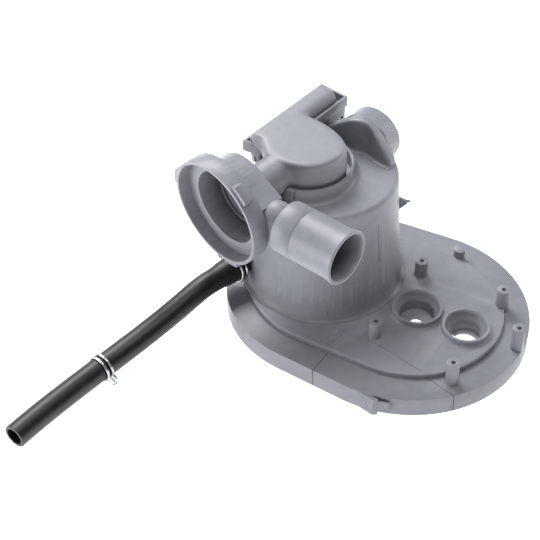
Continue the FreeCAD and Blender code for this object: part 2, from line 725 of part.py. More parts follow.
def makeVoluteBack():
    rim = size("volute_bore") - gap
    depth = size("volute_depth")
    ledge = size("ledge_radius")
    ledgeDepth = size("ledge_depth")
    eye = size("eye_radius")
    thick = size("ledge_wall")
    eyeDepth = size("eye_depth")
    seat = size("barrel_seat")
    barrel = size("barrel_radius") + gap
    body = turned("volute_back", [
        (rim, -depth), (rim, thick - depth), (ledge + thick, thick - depth), (ledge + thick, -ledgeDepth),
        (ledge, -ledgeDepth), (ledge, -eyeDepth), (eye, -eyeDepth),
        (eye, seat - depth), (barrel, seat - depth), (barrel, -depth)])
    place(body, *within(pumpFrame, 0, 0, 0))
    return body


subparts.append(makePumpHousing())
subparts.append(makeVoluteBack())


# Outlet: elbow and tube

def makeElbow():
    radius = size("tube_radius") - size("mould_step")
    end = size("elbow_end")
    length = size("tube_length")
    outside = tubeAlong("elbow_tube", tubeFrame, radius, -end, end - length)
    doc.recompute()
    closed = tubeFrame.multVec(vector(0, 0, -end))
    edges = [number for number, edge in enumerate(outside.Shape.Edges, start=1)
             if hasattr(edge.Curve, "Center") and edge.Curve.Center.distanceToPoint(closed) < gap.value]
    rounded = doc.addObject("Part::Fillet", "elbow_rounded")
    rounded.Base = outside
    rounding = size("elbow_round").value
    rounded.Edges = [(number, rounding, rounding) for number in edges]
    dome = bind(doc.addObject("Part::Sphere", "elbow_dome"), Radius=size("dome_radius"))
    place(dome, *within(pumpFrame, size("dome_across"), size("dome_up"), -size("dome_depth")))
    drop = cylinder("elbow_drop", size("dome_radius"), size("elbow_drop"),
                    *within(pumpFrame, size("dome_across"), size("dome_up"), -size("dome_depth"),
                            FreeCAD.Rotation(FreeCAD.Vector(1, 0, 0), 90)))
    tailX = size("tail_x")
    low = size("tail_low")
    high = size("tail_y")
    depth = size("volute_depth")
    neckLength = size("dome_across") - tailX + size("dome_radius") / 2
    neckDepth = depth - size("collar_depth") - gap * 2  # with a gap at each end

    def neck(name, inset):
        return box(name, neckLength + inset, low + high - inset * 2, neckDepth - inset * 2,
                   *within(pumpFrame, tailX - inset, inset - low, gap + inset - depth))

    boreTube = tubeAlong("elbow_bore", tubeFrame, radius - size("tube_wall"), wall - end, end - length - wall)
    collarDepth = size("collar_depth")
    pumpSide = tubeAlong("collar_clearance", pumpFrame, size("collar_radius") + gap, -(collarDepth + gap),
                         collarDepth * 2)
    face = box("tail_clearance", tailX * 2, tailX * 2, depth + collarDepth,
               *within(pumpFrame, -tailX, -tailX, -(depth + gap)))
    outer = fuse("elbow_solid", [rounded, dome, drop, neck("elbow_neck", asSize(0))])
    inner = fuse("elbow_hollow", [boreTube, neck("elbow_neck_bore", wall)])
    tubeSide = tubeAlong("tube_clearance", tubeFrame, size("tube_radius") + gap, -length, length)
    openings = fuse("elbow_openings", [inner, pumpSide, face, tubeSide])
    return named(cut("outlet_elbow", outer, openings), "outlet_elbow")


def makeOutletTube():
    radius = size("tube_radius")
    bore = radius - size("tube_wall")
    length = size("tube_length")
    edge = size("tube_wall") / 4
    mouth = asSize(0)
    body = turned("outlet_tube", [(bore, -length), (radius, -length), (radius, -edge), (radius - edge, mouth),
                                  (bore, mouth)])
    place(body, *within(tubeFrame, 0, 0, 0))
    return body


subparts.append(makeElbow())
subparts.append(makeOutletTube())


# Angled tube with its bead, and the hood that leads it out of the well

def makeHoodTube():
    radius = size("hood_radius")
    stub = size("hood_stub")
    run = size("hood_run")
    bead = size("hood_bead")
    tube = tubeAlong("hood_stub", hoodFrame, radius, -stub, stub)
    beadRing = tubeAlong("hood_bead", hoodFrame, radius + bead, -stub, bead * 2)
    low = (size("well_top") - size("hood_z")).value
    front = -(stub + run + wall).value
    feet = [(hoodOutline[-1][0], low), (hoodOutline[0][0], low)]
    corners = [vector(x, y, front) for x, y in hoodOutline + feet]
    humpBlock = Part.Face(Part.makePolygon(corners + corners[:1])).extrude(vector(0, 0, (run + wall).value))
    humpBlock.Placement = hoodFrame
    overWell = Part.makeCylinder((size("well_radius_top") - wall).value, size("well_top").value,
                                 vector(0, 0, size("well_top")))
    hump = doc.addObject("Part::Feature", "hood_hump")
    hump.Shape = humpBlock.common(overWell)
    bore = tubeAlong("hood_bore", hoodFrame, radius - wall, -(stub + run), stub + run)
    outer = fuse("hood_solid", [hump, tube, beadRing])
    return named(cut("hood_tube", outer, bore), "hood_tube")


# Outline of the hump across the tube, from its left foot over the top to its right foot
hoodOutline = [(36.0, -1.0), (29.6, 4.8), (19.8, 13.4), (9.0, 20.9), (4.0, 23.3), (-1.3, 24.2), (-6.6, 22.8),
               (-12.1, 19.4), (-17.7, 14.3), (-23.3, 7.6), (-27.2, 2.0), (-31.5, -1.5)]
subparts.append(makeHoodTube())


# Duct cover: nose over the suction port, flat channel, box branch and barrel

def ductPrism(corners, rise, inset, top):
    # Flat part of the duct from its underside up to a height, drawn in, or out where the inset is negative
    points = [vector(x, y) for x, y in corners]
    outline = Part.makePolygon(points + points[:1])
    if inset:
        outline = outline.makeOffset2D(-inset)
    base = (size("well_top") + rise).value + inset
    prism = Part.Face(outline).extrude(FreeCAD.Vector(0, 0, top - base))
    prism.translate(FreeCAD.Vector(0, 0, base))
    return prism


def noseFace(inset, height):
    # Plan of the nose: round at the front, and cut off by the straight side of the arm behind
    points = [vector(x, y, height) for x, y in armSide]
    behind = Part.makePolygon(points + points[:1])
    if inset:
        behind = behind.makeOffset2D(inset)
    rim = Part.makeCircle(size("nose_radius").value - inset, vector(ringX, ringY, height))
    return Part.Face(Part.Wire(rim)).cut(Part.Face(behind)).Faces[0]


def ductSolid(inset, drop):
    # Outer shape of the duct, or its hollow when it is inset; drop lengthens the open undersides
    top = (size("well_top") + size("duct_rise")).value - inset
    noseBase = size("well_top").value + size("seal_thickness").value + gap.value / 2 - drop
    nose = noseFace(inset, noseBase).extrude(FreeCAD.Vector(0, 0, top - noseBase))
    across = size("box_width").value - inset * 2
    start = size("box_start").value + inset
    boxBase = (size("well_top") + size("box_rise")).value - drop
    branch = Part.makeBox(size("box_end").value - inset - start, across, top - boxBase,
                          vector(start, -size("box_offset").value - across / 2, boxBase))
    branch.Placement = FreeCAD.Placement(FreeCAD.Vector(), FreeCAD.Rotation(size("box_angle").value, 0, 0))
    return nose.fuse([branch, ductPrism(channelOutline, size("channel_rise"), inset, top)]).removeSplitter()


def makeDuctCover():
    thickness = size("duct_wall").value
    barrelRadius = size("barrel_radius").value
    outward = pumpFrame.Rotation.multVec(FreeCAD.Vector(0, 0, 1))
    inNose = size("barrel_root").value
    reach = size("pump_reach").value - size("volute_depth").value + size("barrel_seat").value - gap.value
    barrel = Part.makeCylinder(barrelRadius, reach - inNose, pumpPoint(inNose), outward)
    bore = Part.makeCylinder(barrelRadius - thickness, reach - inNose, pumpPoint(inNose), outward)
    outer = ductSolid(0.0, 0.0).fuse(barrel)
    hollow = ductSolid(thickness, thickness).fuse(bore)
    cover = outer.cut(hollow)
    ductTop = (size("well_top") + size("duct_rise")).value
    upper = [edge for edge in cover.Edges if edge.BoundBox.ZMin > ductTop - gap.value]
    rounded = cover.makeFillet(size("duct_round").value, upper)

    # Shoulder that fills the corner between the branch and the barrel
    shoulderTop = ductTop - size("shoulder_step").value
    shoulder = ductPrism(shoulderOutline, size("box_rise"), 0.0, shoulderTop)
    inside = ductPrism(shoulderOutline, size("box_rise"), thickness, shoulderTop - thickness)
    return solidFeature("duct_cover", rounded.fuse(shoulder).cut(hollow.fuse(inside)).Solids[0])


# Side of the arm from the branch to the nose, and the two outlines that share it
sideRun = [(-30.0, 17.5), (-15.0, 16.0), (-7.0, 14.0), (1.0, 11.0)]
armSide = [(-45.0, 18.5)] + sideRun + [(9.3, 6.5), (15.5, 0.8), (22.0, -6.5), (40.0, 10.0), (20.0, 45.0),
                                       (-45.0, 45.0)]
channelOutline = [(-38.0, 18.0)] + sideRun + [(5.0, -15.0), (-41.0, -15.0)]
shoulderOutline = [(-38.5, -12.0), (-38.5, -27.5), (-28.0, -38.5), (-18.0, -33.0), (-10.0, -12.0)]
subparts.append(makeDuctCover())


def makeDuctSeal():
    outside = noseFace(gap.value, size("well_top"))
    inside = noseFace((gap + size("seal_width")).value, size("well_top"))
    ring = outside.cut(inside).Faces[0].extrude(vector(0, 0, size("seal_thickness")))
    return solidFeature("duct_seal", ring)


subparts.append(makeDuctSeal())


# Tray under the box branch, with its lip, neck and legs

def makeTray():
    angle = size("box_angle").value
    frame = FreeCAD.Placement(FreeCAD.Vector(), FreeCAD.Rotation(angle, 0, 0))
    offset = -size("box_offset")
    half = size("box_width") / 2 + size("tray_lip_gap")
    margin = size("tray_margin")
    lip = size("tray_lip")
    start = size("box_start") - size("tray_lip_gap")
    end = size("box_end") + margin
    wellTop = size("well_top")
    base = wellTop + size("tray_rise")
    top = wellTop + size("tray_lip_rise")
    floor = wellTop + size("box_rise")

    def block(name, low, high, near, far, bottom, ceiling):
        # Block between two ends along the branch, two sides across it and two heights
        return box(name, high - low, far - near, ceiling - bottom, *within(frame, low, near, bottom))

    outer = block("tray_outside", start - lip, end + lip, offset - half - lip, offset + half + lip, base, top)
    inner = block("tray_inside", start, end, offset - half, offset + half, floor, top)
    neckHalf = size("neck_width") / 2
    neck = block("tray_neck", size("neck_start"), size("neck_end"), offset - neckHalf, offset + neckHalf,
                 wellTop, base)
    legWidth = size("leg_width")
    groove = size("leg_groove")
    legs = []
    grooves = []
    legPlaces = (("near", start - lip, wellTop), ("far", end + lip - legWidth, base - size("leg_drop")))
    for name, place_x, foot in legPlaces:
        legs.append(block(name + "_leg", place_x, place_x + legWidth, offset - half, offset + half, foot, base))
        middle = place_x + legWidth / 2 - groove / 2
        grooves.append(block(name + "_groove", middle, middle + groove, offset - half - lip, offset + half + lip,
                             wellTop, base - groove))
    channelClear = doc.addObject("Part::Feature", "tray_channel_clearance")
    above = top.value + gap.value
    channelClear.Shape = ductPrism(channelOutline, size("channel_rise"), -gap.value, above).fuse(
        ductPrism(shoulderOutline, size("box_rise"), -gap.value, above))
    ringClear = cylinder("tray_ring_clearance", size("ring_radius") + gap, size("ring_height") + gap,
                         ringX, ringY, wellTop)
    noseClear = cylinder("tray_nose_clearance", size("nose_radius") + gap, top - wellTop, ringX, ringY, wellTop)
    solid = fuse("tray_solid", [outer, neck] + legs)
    openings = fuse("tray_openings", [inner, channelClear, ringClear, noseClear] + grooves)
    return named(cut("duct_tray", solid, openings), "duct_tray")


subparts.append(makeTray())


# Latch on the ring, and hook on the side of the well

def makeLatch():
    start = size("latch_start")
    length = size("latch_end") - start
    thick = size("latch_thickness")
    base = size("latch_base")
    face = ringY - size("ring_radius")
    top = size("well_top") + size("ring_height")
    upright = box("latch_upright", length, thick, top + thick / 2 - base, start, face - thick, base)
    lip = box("latch_lip", length, thick * 2, thick / 2, start, face - thick, top)
    clear = tubeAlong("latch_clearance", pumpFrame, size("barrel_radius") + gap * 2, -size("pump_reach"),
                      size("pump_reach"))
    return named(cut("ring_latch", fuse("latch_solid", [upright, lip]), clear), "ring_latch")


def makeHook():
    width = size("hook_width")
    foot = size("well_radius_top") - wall
    plate = box("hook_plate", width, size("hook_height"), size("hook_reach") - foot,
                *within(hookFrame, -width / 2, size("hook_base"), foot))
    pegStart = size("well_radius_foot")
    peg = cylinder("hook_peg", size("hook_peg_radius"), size("hook_peg_reach") - pegStart,
                   *within(hookFrame, 0, size("hook_base") + size("hook_peg_rise"), pegStart))
    return named(cut("hook_bracket", fuse("hook_solid", [plate, peg]), wellCone("hook_rest")), "hook_bracket")


subparts.append(makeLatch())
subparts.append(makeHook())


# Drain spigot with its non-return valve

def makeSpigot():
    radius = size("spigot_radius")
    bore = size("spigot_bore")
    tip = size("spigot_reach")
    start = -size("chamber_start")
    end = start - size("chamber_length")
    chamber = size("chamber_radius")
    chamberBore = size("chamber_bore")
    thick = chamber - chamberBore
    edge = (radius - bore) / 3
    body = turned("drain_spigot", [
        (chamberBore, end), (chamber, end), (chamber, start), (radius, start), (radius, tip - edge),
        (radius - edge, tip), (bore, tip), (bore, start - thick), (chamberBore, start - thick)])
    place(body, *within(spigotFrame, 0, 0, 0))
    return body


def valvePlace():
    # Downstream face of the valve seat, along the spigot
    return size("seat_thickness") - size("chamber_start") - size("chamber_length")


def makeValveSeat():
    face = valvePlace()
    outer = size("chamber_bore") - gap
    inside = size("ear_inside")
    width = size("ear_outside") - inside
    knuckle = size("knuckle_radius")
    height = size("pin_height")
    ring = tubeAlong("seat_ring", spigotFrame, outer, face - size("seat_thickness"), size("seat_thickness"))
    ears = []
    for name, x in (("left_ear", -size("ear_outside")), ("right_ear", inside)):
        ears.append(box(name, width, outer - height + knuckle, size("pin_offset"),
                        *within(spigotFrame, x, height - knuckle, face)))
        ears.append(cylinder(name + "_end", knuckle, width,
                             *within(spigotFrame, x, height, face + size("pin_offset"), crossways)))
    limit = tubeAlong("seat_limit", spigotFrame, outer, face - size("seat_thickness"),
                      size("seat_thickness") + size("pin_offset") + knuckle)
    trimmed = doc.addObject("Part::MultiCommon", "seat_trimmed")
    trimmed.Shapes = [fuse("seat_solid", [ring] + ears), limit]
    hole = tubeAlong("seat_hole", spigotFrame, size("seat_bore"), face - size("seat_thickness"),
                     size("seat_thickness"))
    pinHole = cylinder("seat_pin_hole", size("pin_radius"), outer * 2,
                       *within(spigotFrame, -outer, height, face + size("pin_offset"), crossways))
    return named(cut("valve_seat", trimmed, fuse("seat_openings", [hole, pinHole])), "valve_seat")


def makeFlap():
    face = valvePlace() + gap / 2
    height = size("pin_height")
    knuckle = size("knuckle_radius")
    thick = size("flap_thickness")
    half = size("ear_inside") - gap
    disc = tubeAlong("flap_disc", spigotFrame, size("flap_radius"), face, thick)
    arm = box("flap_arm", half * 2, height - size("flap_radius") / 2, thick,
              *within(spigotFrame, -half, size("flap_radius") / 2, face))
    roll = cylinder("flap_knuckle", knuckle, half * 2,
                    *within(spigotFrame, -half, height, valvePlace() + size("pin_offset"), crossways))
    hole = cylinder("flap_pin_hole", size("pin_radius") + size("pin_clearance"), half * 4,
                    *within(spigotFrame, -half * 2, height, valvePlace() + size("pin_offset"), crossways))
    return named(cut("valve_flap", fuse("flap_solid", [disc, arm, roll]), hole), "valve_flap")


def makeValvePin():
    half = size("ear_outside")
    return named(cylinder("valve_pin", size("pin_radius"), half * 2,
                          *within(spigotFrame, -half, size("pin_height"), valvePlace() + size("pin_offset"),
                                  crossways)), "valve_pin")


subparts.append(makeSpigot())
subparts.append(makeValveSeat())
subparts.append(makeFlap())
subparts.append(makeValvePin())


# Drain hose: a cuff stretched over the spigot, and a free length that runs down and along the floor

def makePath(points):
    # Straight runs joined by tangent arcs, as large as the runs allow
    edges = []
    start = points[0]
    for before, corner, after in zip(points, points[1:], points[2:]):
        toBefore = before - corner
        toAfter = after - corner
        half = (math.pi - toBefore.getAngle(toAfter)) / 2
        shorter = min(toBefore.Length, toAfter.Length)
        radius = 0.45 * shorter / math.tan(half)
        print("hose bend of radius %.0f" % radius)
        arcStart = corner + toBefore.normalize() * 0.45 * shorter
        arcEnd = corner + toAfter.normalize() * 0.45 * shorter
        bisector = (toBefore + toAfter).normalize()
        middle = corner + bisector * radius * (1 / math.cos(half) - 1)
        edges.append(Part.LineSegment(start, arcStart).toShape())
        edges.append(Part.Arc(arcStart, middle, arcEnd).toShape())
        start = arcEnd
    edges.append(Part.LineSegment(start, points[-1]).toShape())
    return Part.Wire(edges)


def swept(path, radius, start, direction):
    section = Part.Wire([Part.makeCircle(radius, start, direction)])
    return path.makePipeShell([section], True, False)


def makeHose():
    radius = size("hose_radius").value
    bore = size("hose_bore").value
    clamped = size("cuff_start").value
    stretch = clamped + size("cuff_length").value
    end = stretch + size("cuff_taper").value
    fitted = size("spigot_radius").value + gap.value / 4
    cuffRadius = size("cuff_radius").value
    start = spigotFrame.multVec(vector(0, 0, end))
    route = [start] + [vector(*point) for point in hoseDrop + hoseRest]
    path = makePath(route)

    def withCuff(freeRadius, stretchedRadius, low):
        section = [vector(0, 0, low), vector(stretchedRadius, 0, low), vector(stretchedRadius, 0, stretch),
                   vector(freeRadius, 0, end), vector(0, 0, end)]
        cuff = Part.Face(Part.makePolygon(section + section[:1])).revolve(
            FreeCAD.Vector(), FreeCAD.Vector(0, 0, 1), 360)
        cuff.Placement = spigotFrame
        return cuff.fuse(swept(path, freeRadius, start, route[1] - route[0]))

    hose = withCuff(radius, cuffRadius, clamped).cut(withCuff(bore, fitted, clamped - gap.value))
    cuffVolume = math.pi * (cuffRadius ** 2 - fitted ** 2) * (stretch - clamped)
    freeVolume = math.pi * (radius ** 2 - bore ** 2) * path.Length
    print("hose length %.1f, volume %.0f, of which cuff about %.0f and free length %.0f"
          % (path.Length, hose.Volume, cuffVolume, freeVolume))
    return solidFeature("drain_hose", hose.Solids[0])


# Points that the free hose passes, beyond its cuff
hoseDrop = [(-59.8, -79.5, 35.0), (-67.4, -101.5, 27.6), (-78.0, -124.4, 18.0), (-87.4, -150.2, 12.2)]
hoseRest = [(-94.0, -179.3, 11.2), (-100.0, -210.5, 11.0), (-105.0, -236.4, 9.9), (-107.4, -252.8, 9.3)]
clampShare = 0.62
subparts.append(makeHose())


# Hose clamps: two rings of sprung wire, with two ears of the same wire

def makeClamp(label, frame, hoseRadius, turn):
    wire = size("wire_radius")
    ringRadius = hoseRadius + size("clamp_gap") + wire
    half = size("ear_angle") / 2
    spread = size("wire_spacing")
    ear = size("clamp_ear")
    outward = FreeCAD.Rotation(FreeCAD.Vector(0, 0, 1), vector(cosine(turn), sine(turn)))
    pieces = []
    for side, z in (("a", -spread / 2), ("b", spread / 2)):
        loop = bind(doc.addObject("Part::Torus", "%s_loop_%s" % (label, side)), Radius1=ringRadius, Radius2=wire)
        place(loop, *within(frame, 0, 0, z))
        pieces.append(loop)
    for side, angle in (("left", turn + half), ("right", turn - half)):
        x = cosine(angle) * ringRadius
        y = sine(angle) * ringRadius
        for end, z in (("a", -spread / 2), ("b", spread / 2)):
            name = "%s_%s_%s" % (label, side, end)
            pieces.append(cylinder(name, wire * 0.9, ear, *within(frame, x, y, z, outward)))
        pieces.append(cylinder("%s_%s_bar" % (label, side), wire * 0.8, spread,
                               *within(frame, x + cosine(turn) * (ear - wire), y + sine(turn) * (ear - wire),
                                       -spread / 2)))
    return named(fuse(label, pieces), label)


runStart = vector(*hoseDrop[-1])
runEnd = vector(*hoseRest[0])
along = runEnd - runStart
farFrame = FreeCAD.Placement(runStart + along * clampShare, FreeCAD.Rotation(
    FreeCAD.Vector(-along.y, along.x, 0), FreeCAD.Vector(0, 0, 1), along, "ZXY"))
nearFrame = FreeCAD.Placement(spigotFrame.multVec(vector(0, 0, size("clamp_seat"))), spigotFrame.Rotation)
subparts.append(makeClamp("hose_clamp_near", nearFrame, size("cuff_radius"), size("near_ear_turn")))
subparts.append(makeClamp("hose_clamp_far", farFrame, size("hose_radius"), size("far_ear_turn")))


# Rubber gasket inside the skirt, under the flange

def makeTubGasket():
    body = newBody("tub_gasket")
    height = size("gasket_height")
    sketch = sketchOn(body, "gasket_outline", height=size("flange_top") - wall - height)
    leftX = size("base_left_x")
    rightX = size("base_right_x")
    left = size("base_left_radius") - size("skirt_wall") - gap
    right = size("base_right_radius") - size("skirt_wall") - gap
    stadium(sketch, leftX, left, rightX, right, baseY)
    stadium(sketch, leftX, left - size("gasket_width"), rightX, right - size("gasket_width"), baseY)
    pad(body, sketch, height)
    return body


subparts.append(makeTubGasket())


# Checks, then one file for each piece

doc.recompute()
for item in doc.Objects:
    if "Invalid" in item.State or "Error" in item.State:
        raise ValueError("%s did not rebuild: %s" % (item.Name, item.State))
os.makedirs("parts", exist_ok=True)
for piece in subparts:
    shape = piece.Shape
    if shape.isNull() or not shape.isValid() or len(shape.Solids) != 1:
        raise ValueError("%s is not one sound solid" % piece.Label)
    shape.exportStep("parts/%s.step" % piece.Label)
    bounds = shape.BoundBox
    print("%-16s %9.0f mm3  x %7.1f %7.1f  y %7.1f %7.1f  z %6.1f %6.1f" % (
        piece.Label, shape.Volume, bounds.XMin, bounds.XMax, bounds.YMin, bounds.YMax, bounds.ZMin, bounds.ZMax))
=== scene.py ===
import math

import bmesh
import bpy
from mathutils import Matrix, Vector


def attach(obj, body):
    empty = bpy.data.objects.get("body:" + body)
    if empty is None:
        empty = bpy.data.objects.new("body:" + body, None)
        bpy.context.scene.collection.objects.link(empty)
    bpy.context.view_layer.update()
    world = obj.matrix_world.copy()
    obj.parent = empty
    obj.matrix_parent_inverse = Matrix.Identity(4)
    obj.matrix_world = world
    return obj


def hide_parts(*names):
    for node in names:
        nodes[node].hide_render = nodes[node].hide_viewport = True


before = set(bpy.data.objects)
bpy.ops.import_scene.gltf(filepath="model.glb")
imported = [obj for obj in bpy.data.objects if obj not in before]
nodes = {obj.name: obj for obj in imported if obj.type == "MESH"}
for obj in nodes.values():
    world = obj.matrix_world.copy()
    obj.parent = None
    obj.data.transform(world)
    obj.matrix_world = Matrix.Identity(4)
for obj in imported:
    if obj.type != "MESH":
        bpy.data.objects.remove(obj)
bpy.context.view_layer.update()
mm = 0.001


# Places, in millimetres from the centre of the filter seat on the rim plane

def outwardPlace(origin, outward):
    z = Vector(outward).normalized()
    x = Vector((-z.y, z.x, 0)).normalized()
    turn = Matrix((x, z.cross(x), z)).transposed().to_4x4()  # X level, Y up, Z out of the opening
    return Matrix.Translation(Vector(origin) * mm) @ turn


def standingPlace(x, y, z):
    return Matrix.Translation(Vector((x, y, z)) * mm)


pumpPlace = outwardPlace((-38.067, -92.805, 125.5), (-0.30793, -0.94772, -0.08368))
outletPlace = outwardPlace((66.2, -92.0, 130.3), (0.98629, -0.16505, 0))
hoodPlace = outwardPlace((12.2, 55.0, 118.5), (0.12187, 0.99255, 0))
spigotPlace = outwardPlace((-46.0, -35.6, 35.0), (-0.30071, -0.95372, 0))
ringCentre = (-11.0, -9.5)
branchAngle = 80.0  # direction of the box branch and its tray
wellTop = 115.0
sunk = 6.0  # how far a soft form runs on under its foot, cut off again once it is soft


# Camera at the photograph's angle

camera = {
    "eye": (422.2, -808.6, 850.2),
    "right": (0.8648, 0.5021, 0.0),
    "up": (-0.3389, 0.5837, 0.7379),
    "lens": 106.67,
    "frame": 36.0,
    "clip": (0.05, 30.0),  # metres
}


def makeCamera():
    data = bpy.data.cameras.new("studioCamera")
    data.lens = camera["lens"]
    data.sensor_width = camera["frame"]
    data.clip_start, data.clip_end = camera["clip"]
    right = Vector(camera["right"]).normalized()
    up = Vector(camera["up"])
    up = (up - right * up.dot(right)).normalized()
    turn = Matrix((right, up, right.cross(up))).transposed().to_4x4()
    seat = bpy.data.objects.new("studioCamera", data)
    seat.matrix_world = Matrix.Translation(Vector(camera["eye"]) * mm) @ turn
    bpy.context.scene.collection.objects.link(seat)
    bpy.context.scene.camera = seat


makeCamera()
print("camera placed")


# Materials

def colour(code):
    parts = [int(code[i:i + 2], 16) / 255 for i in (1, 3, 5)]
    return [p / 12.92 if p <= 0.04045 else ((p + 0.055) / 1.055) ** 2.4 for p in parts] + [1.0]


def addNode(tree, kind, settings=None, links=None):
    # Settings go to the input of that name, or else to the node itself; links lead into named inputs
    node = tree.nodes.new(kind)
    for name, value in (settings or {}).items():
        if name in node.inputs and not hasattr(node, name):
            node.inputs[name].default_value = value
        else:
            setattr(node, name, value)
    for name, socket in (links or {}).items():
        tree.links.new(socket, node.inputs[name])
    return node


def newMaterial(name):
    material = bpy.data.materials.new(name)
    material.use_nodes = True
    tree = material.node_tree
    tree.nodes.clear()
    output = tree.nodes.new("ShaderNodeOutputMaterial")
    return material, tree, output


def mouldedPolypropylene(name, pale, deep, finish):
    # Grey filled polypropylene, injection moulded: a soft satin skin over a fine spark-eroded grain,
    # with slow shifts of tone where the melt has flowed, and wider gloss where the tool was worn
    material, tree, output = newMaterial(name)
    place = addNode(tree, "ShaderNodeTexCoord").outputs["Object"]
    flow = addNode(tree, "ShaderNodeTexNoise",
                   {"Scale": 1 / (finish["flow"] * mm), "Detail": 3.0, "Roughness": 0.5}, {"Vector": place})
    speck = addNode(tree, "ShaderNodeTexNoise", {"Scale": 1 / (finish["speck"] * mm), "Detail": 4.0},
                    {"Vector": place})
    blend = addNode(tree, "ShaderNodeMath", {"operation": "ADD"},
                    {0: flow.outputs["Fac"], 1: speck.outputs["Fac"]})
    spread = addNode(tree, "ShaderNodeMapRange", {"From Min": 0.7, "From Max": 1.3},
                     {"Value": blend.outputs[0]})
    tone = addNode(tree, "ShaderNodeValToRGB", {}, {"Fac": spread.outputs["Result"]})
    tone.color_ramp.elements[0].color = colour(deep)
    tone.color_ramp.elements[1].color = colour(pale)
    gloss = addNode(tree, "ShaderNodeMapRange",
                    {"To Min": finish["rough"] - 0.05, "To Max": finish["rough"] + 0.07},
                    {"Value": flow.outputs["Fac"]})
    grain = addNode(tree, "ShaderNodeTexNoise", {"Scale": 1 / (finish["grain"] * mm), "Detail": 2.0},
                    {"Vector": place})
    relief = addNode(tree, "ShaderNodeBump", {"Strength": 0.22, "Distance": finish["depth"] * mm},
                     {"Height": grain.outputs["Fac"]})
    wave = addNode(tree, "ShaderNodeBump", {"Strength": 0.25, "Distance": 0.25 * mm},
                   {"Height": flow.outputs["Fac"], "Normal": relief.outputs["Normal"]})
    shader = addNode(tree, "ShaderNodeBsdfPrincipled", {"IOR": 1.49},
                     {"Base Color": tone.outputs["Color"], "Roughness": gloss.outputs["Result"],
                      "Normal": wave.outputs["Normal"]})
    tree.links.new(shader.outputs["BSDF"], output.inputs["Surface"])
    return material


def mouldedRubber(name, pale, deep, rough):
    # Black EPDM rubber, moulded: matt with a low sheen, chalky where talc and handling dust cling
    material, tree, output = newMaterial(name)
    place = addNode(tree, "ShaderNodeTexCoord").outputs["Object"]
    cloud = addNode(tree, "ShaderNodeTexNoise", {"Scale": 1 / (14 * mm), "Detail": 6.0, "Roughness": 0.62},
                    {"Vector": place})
    tone = addNode(tree, "ShaderNodeValToRGB", {}, {"Fac": cloud.outputs["Fac"]})
    tone.color_ramp.elements[0].position = 0.42
    tone.color_ramp.elements[0].color = colour(deep)
    tone.color_ramp.elements[1].position = 0.72
    tone.color_ramp.elements[1].color = colour(pale)
    gloss = addNode(tree, "ShaderNodeMapRange", {"To Min": rough - 0.06, "To Max": rough + 0.1},
                    {"Value": cloud.outputs["Fac"]})
    grain = addNode(tree, "ShaderNodeTexNoise", {"Scale": 1 / (0.7 * mm), "Detail": 3.0}, {"Vector": place})
    relief = addNode(tree, "ShaderNodeBump", {"Strength": 0.3, "Distance": 0.08 * mm},
                     {"Height": grain.outputs["Fac"]})
    shader = addNode(tree, "ShaderNodeBsdfPrincipled",
                     {"IOR": 1.52, "Sheen Weight": 0.12, "Sheen Roughness": 0.5},
                     {"Base Color": tone.outputs["Color"], "Roughness": gloss.outputs["Result"],
                      "Normal": relief.outputs["Normal"]})
    tree.links.new(shader.outputs["BSDF"], output.inputs["Surface"])
    return material


def drawnWire(name, pale, deep, rough, grainSize):
    # Cold drawn spring wire: bright metal with a fine drawn grain and slight dulling in patches
    material, tree, output = newMaterial(name)
    place = addNode(tree, "ShaderNodeTexCoord").outputs["Object"]
    patch = addNode(tree, "ShaderNodeTexNoise", {"Scale": 1 / (3 * mm), "Detail": 4.0}, {"Vector": place})
    tone = addNode(tree, "ShaderNodeValToRGB", {}, {"Fac": patch.outputs["Fac"]})
    tone.color_ramp.elements[0].position = 0.35
    tone.color_ramp.elements[0].color = colour(deep)
    tone.color_ramp.elements[1].position = 0.6
    tone.color_ramp.elements[1].color = colour(pale)
    gloss = addNode(tree, "ShaderNodeMapRange", {"To Min": rough - 0.06, "To Max": rough + 0.12},
                    {"Value": patch.outputs["Fac"]})
    grain = addNode(tree, "ShaderNodeTexNoise", {"Scale": 1 / (grainSize * mm), "Detail": 2.0},
                    {"Vector": place})
    relief = addNode(tree, "ShaderNodeBump", {"Strength": 0.25, "Distance": 0.03 * mm},
                     {"Height": grain.outputs["Fac"]})
    shader = addNode(tree, "ShaderNodeBsdfPrincipled", {"Metallic": 1.0},
                     {"Base Color": tone.outputs["Color"], "Roughness": gloss.outputs["Result"],
                      "Normal": relief.outputs["Normal"]})
    tree.links.new(shader.outputs["BSDF"], output.inputs["Surface"])
    return material


# The grain is drawn at 0.8 mm, because a usual one of about 0.3 mm is too fine to show
greyFinish = {"flow": 45.0, "speck": 6.0, "grain": 0.8, "depth": 0.05, "rough": 0.44}
darkFinish = {"flow": 30.0, "speck": 5.0, "grain": 0.8, "depth": 0.05, "rough": 0.5}
greyMoulding = mouldedPolypropylene("polypropyleneMouldedSatin", "#83858B", "#7B7D83", greyFinish)
darkMoulding = mouldedPolypropylene("polypropyleneMouldedDark", "#505257", "#46484C", darkFinish)
rubber = mouldedRubber("epdmRubberMouldedMatt", "#1E1F20", "#0C0C0D", 0.42)
zincWire = drawnWire("springSteelZincPlatedDrawn", "#D6D8DA", "#A9ACB0", 0.26, 0.25)
pinSteel = drawnWire("stainlessSteelDrawn", "#C8C9CB", "#A0A2A5", 0.3, 0.2)
slots = {"grey_moulding": greyMoulding, "dark_moulding": darkMoulding, "black_rubber": rubber,
         "wire_steel": zincWire, "pin_steel": pinSteel}
print("materials ready")


# Making and finishing of pieces

cleaning = {
    "touch": 0.002,  # corners nearer than this are one, in a new shape
    "weld": 0.01,  # the same in a copy of a solid's mesh
    "sliver": 0.005,
    "flat": 0.6,  # degrees
}


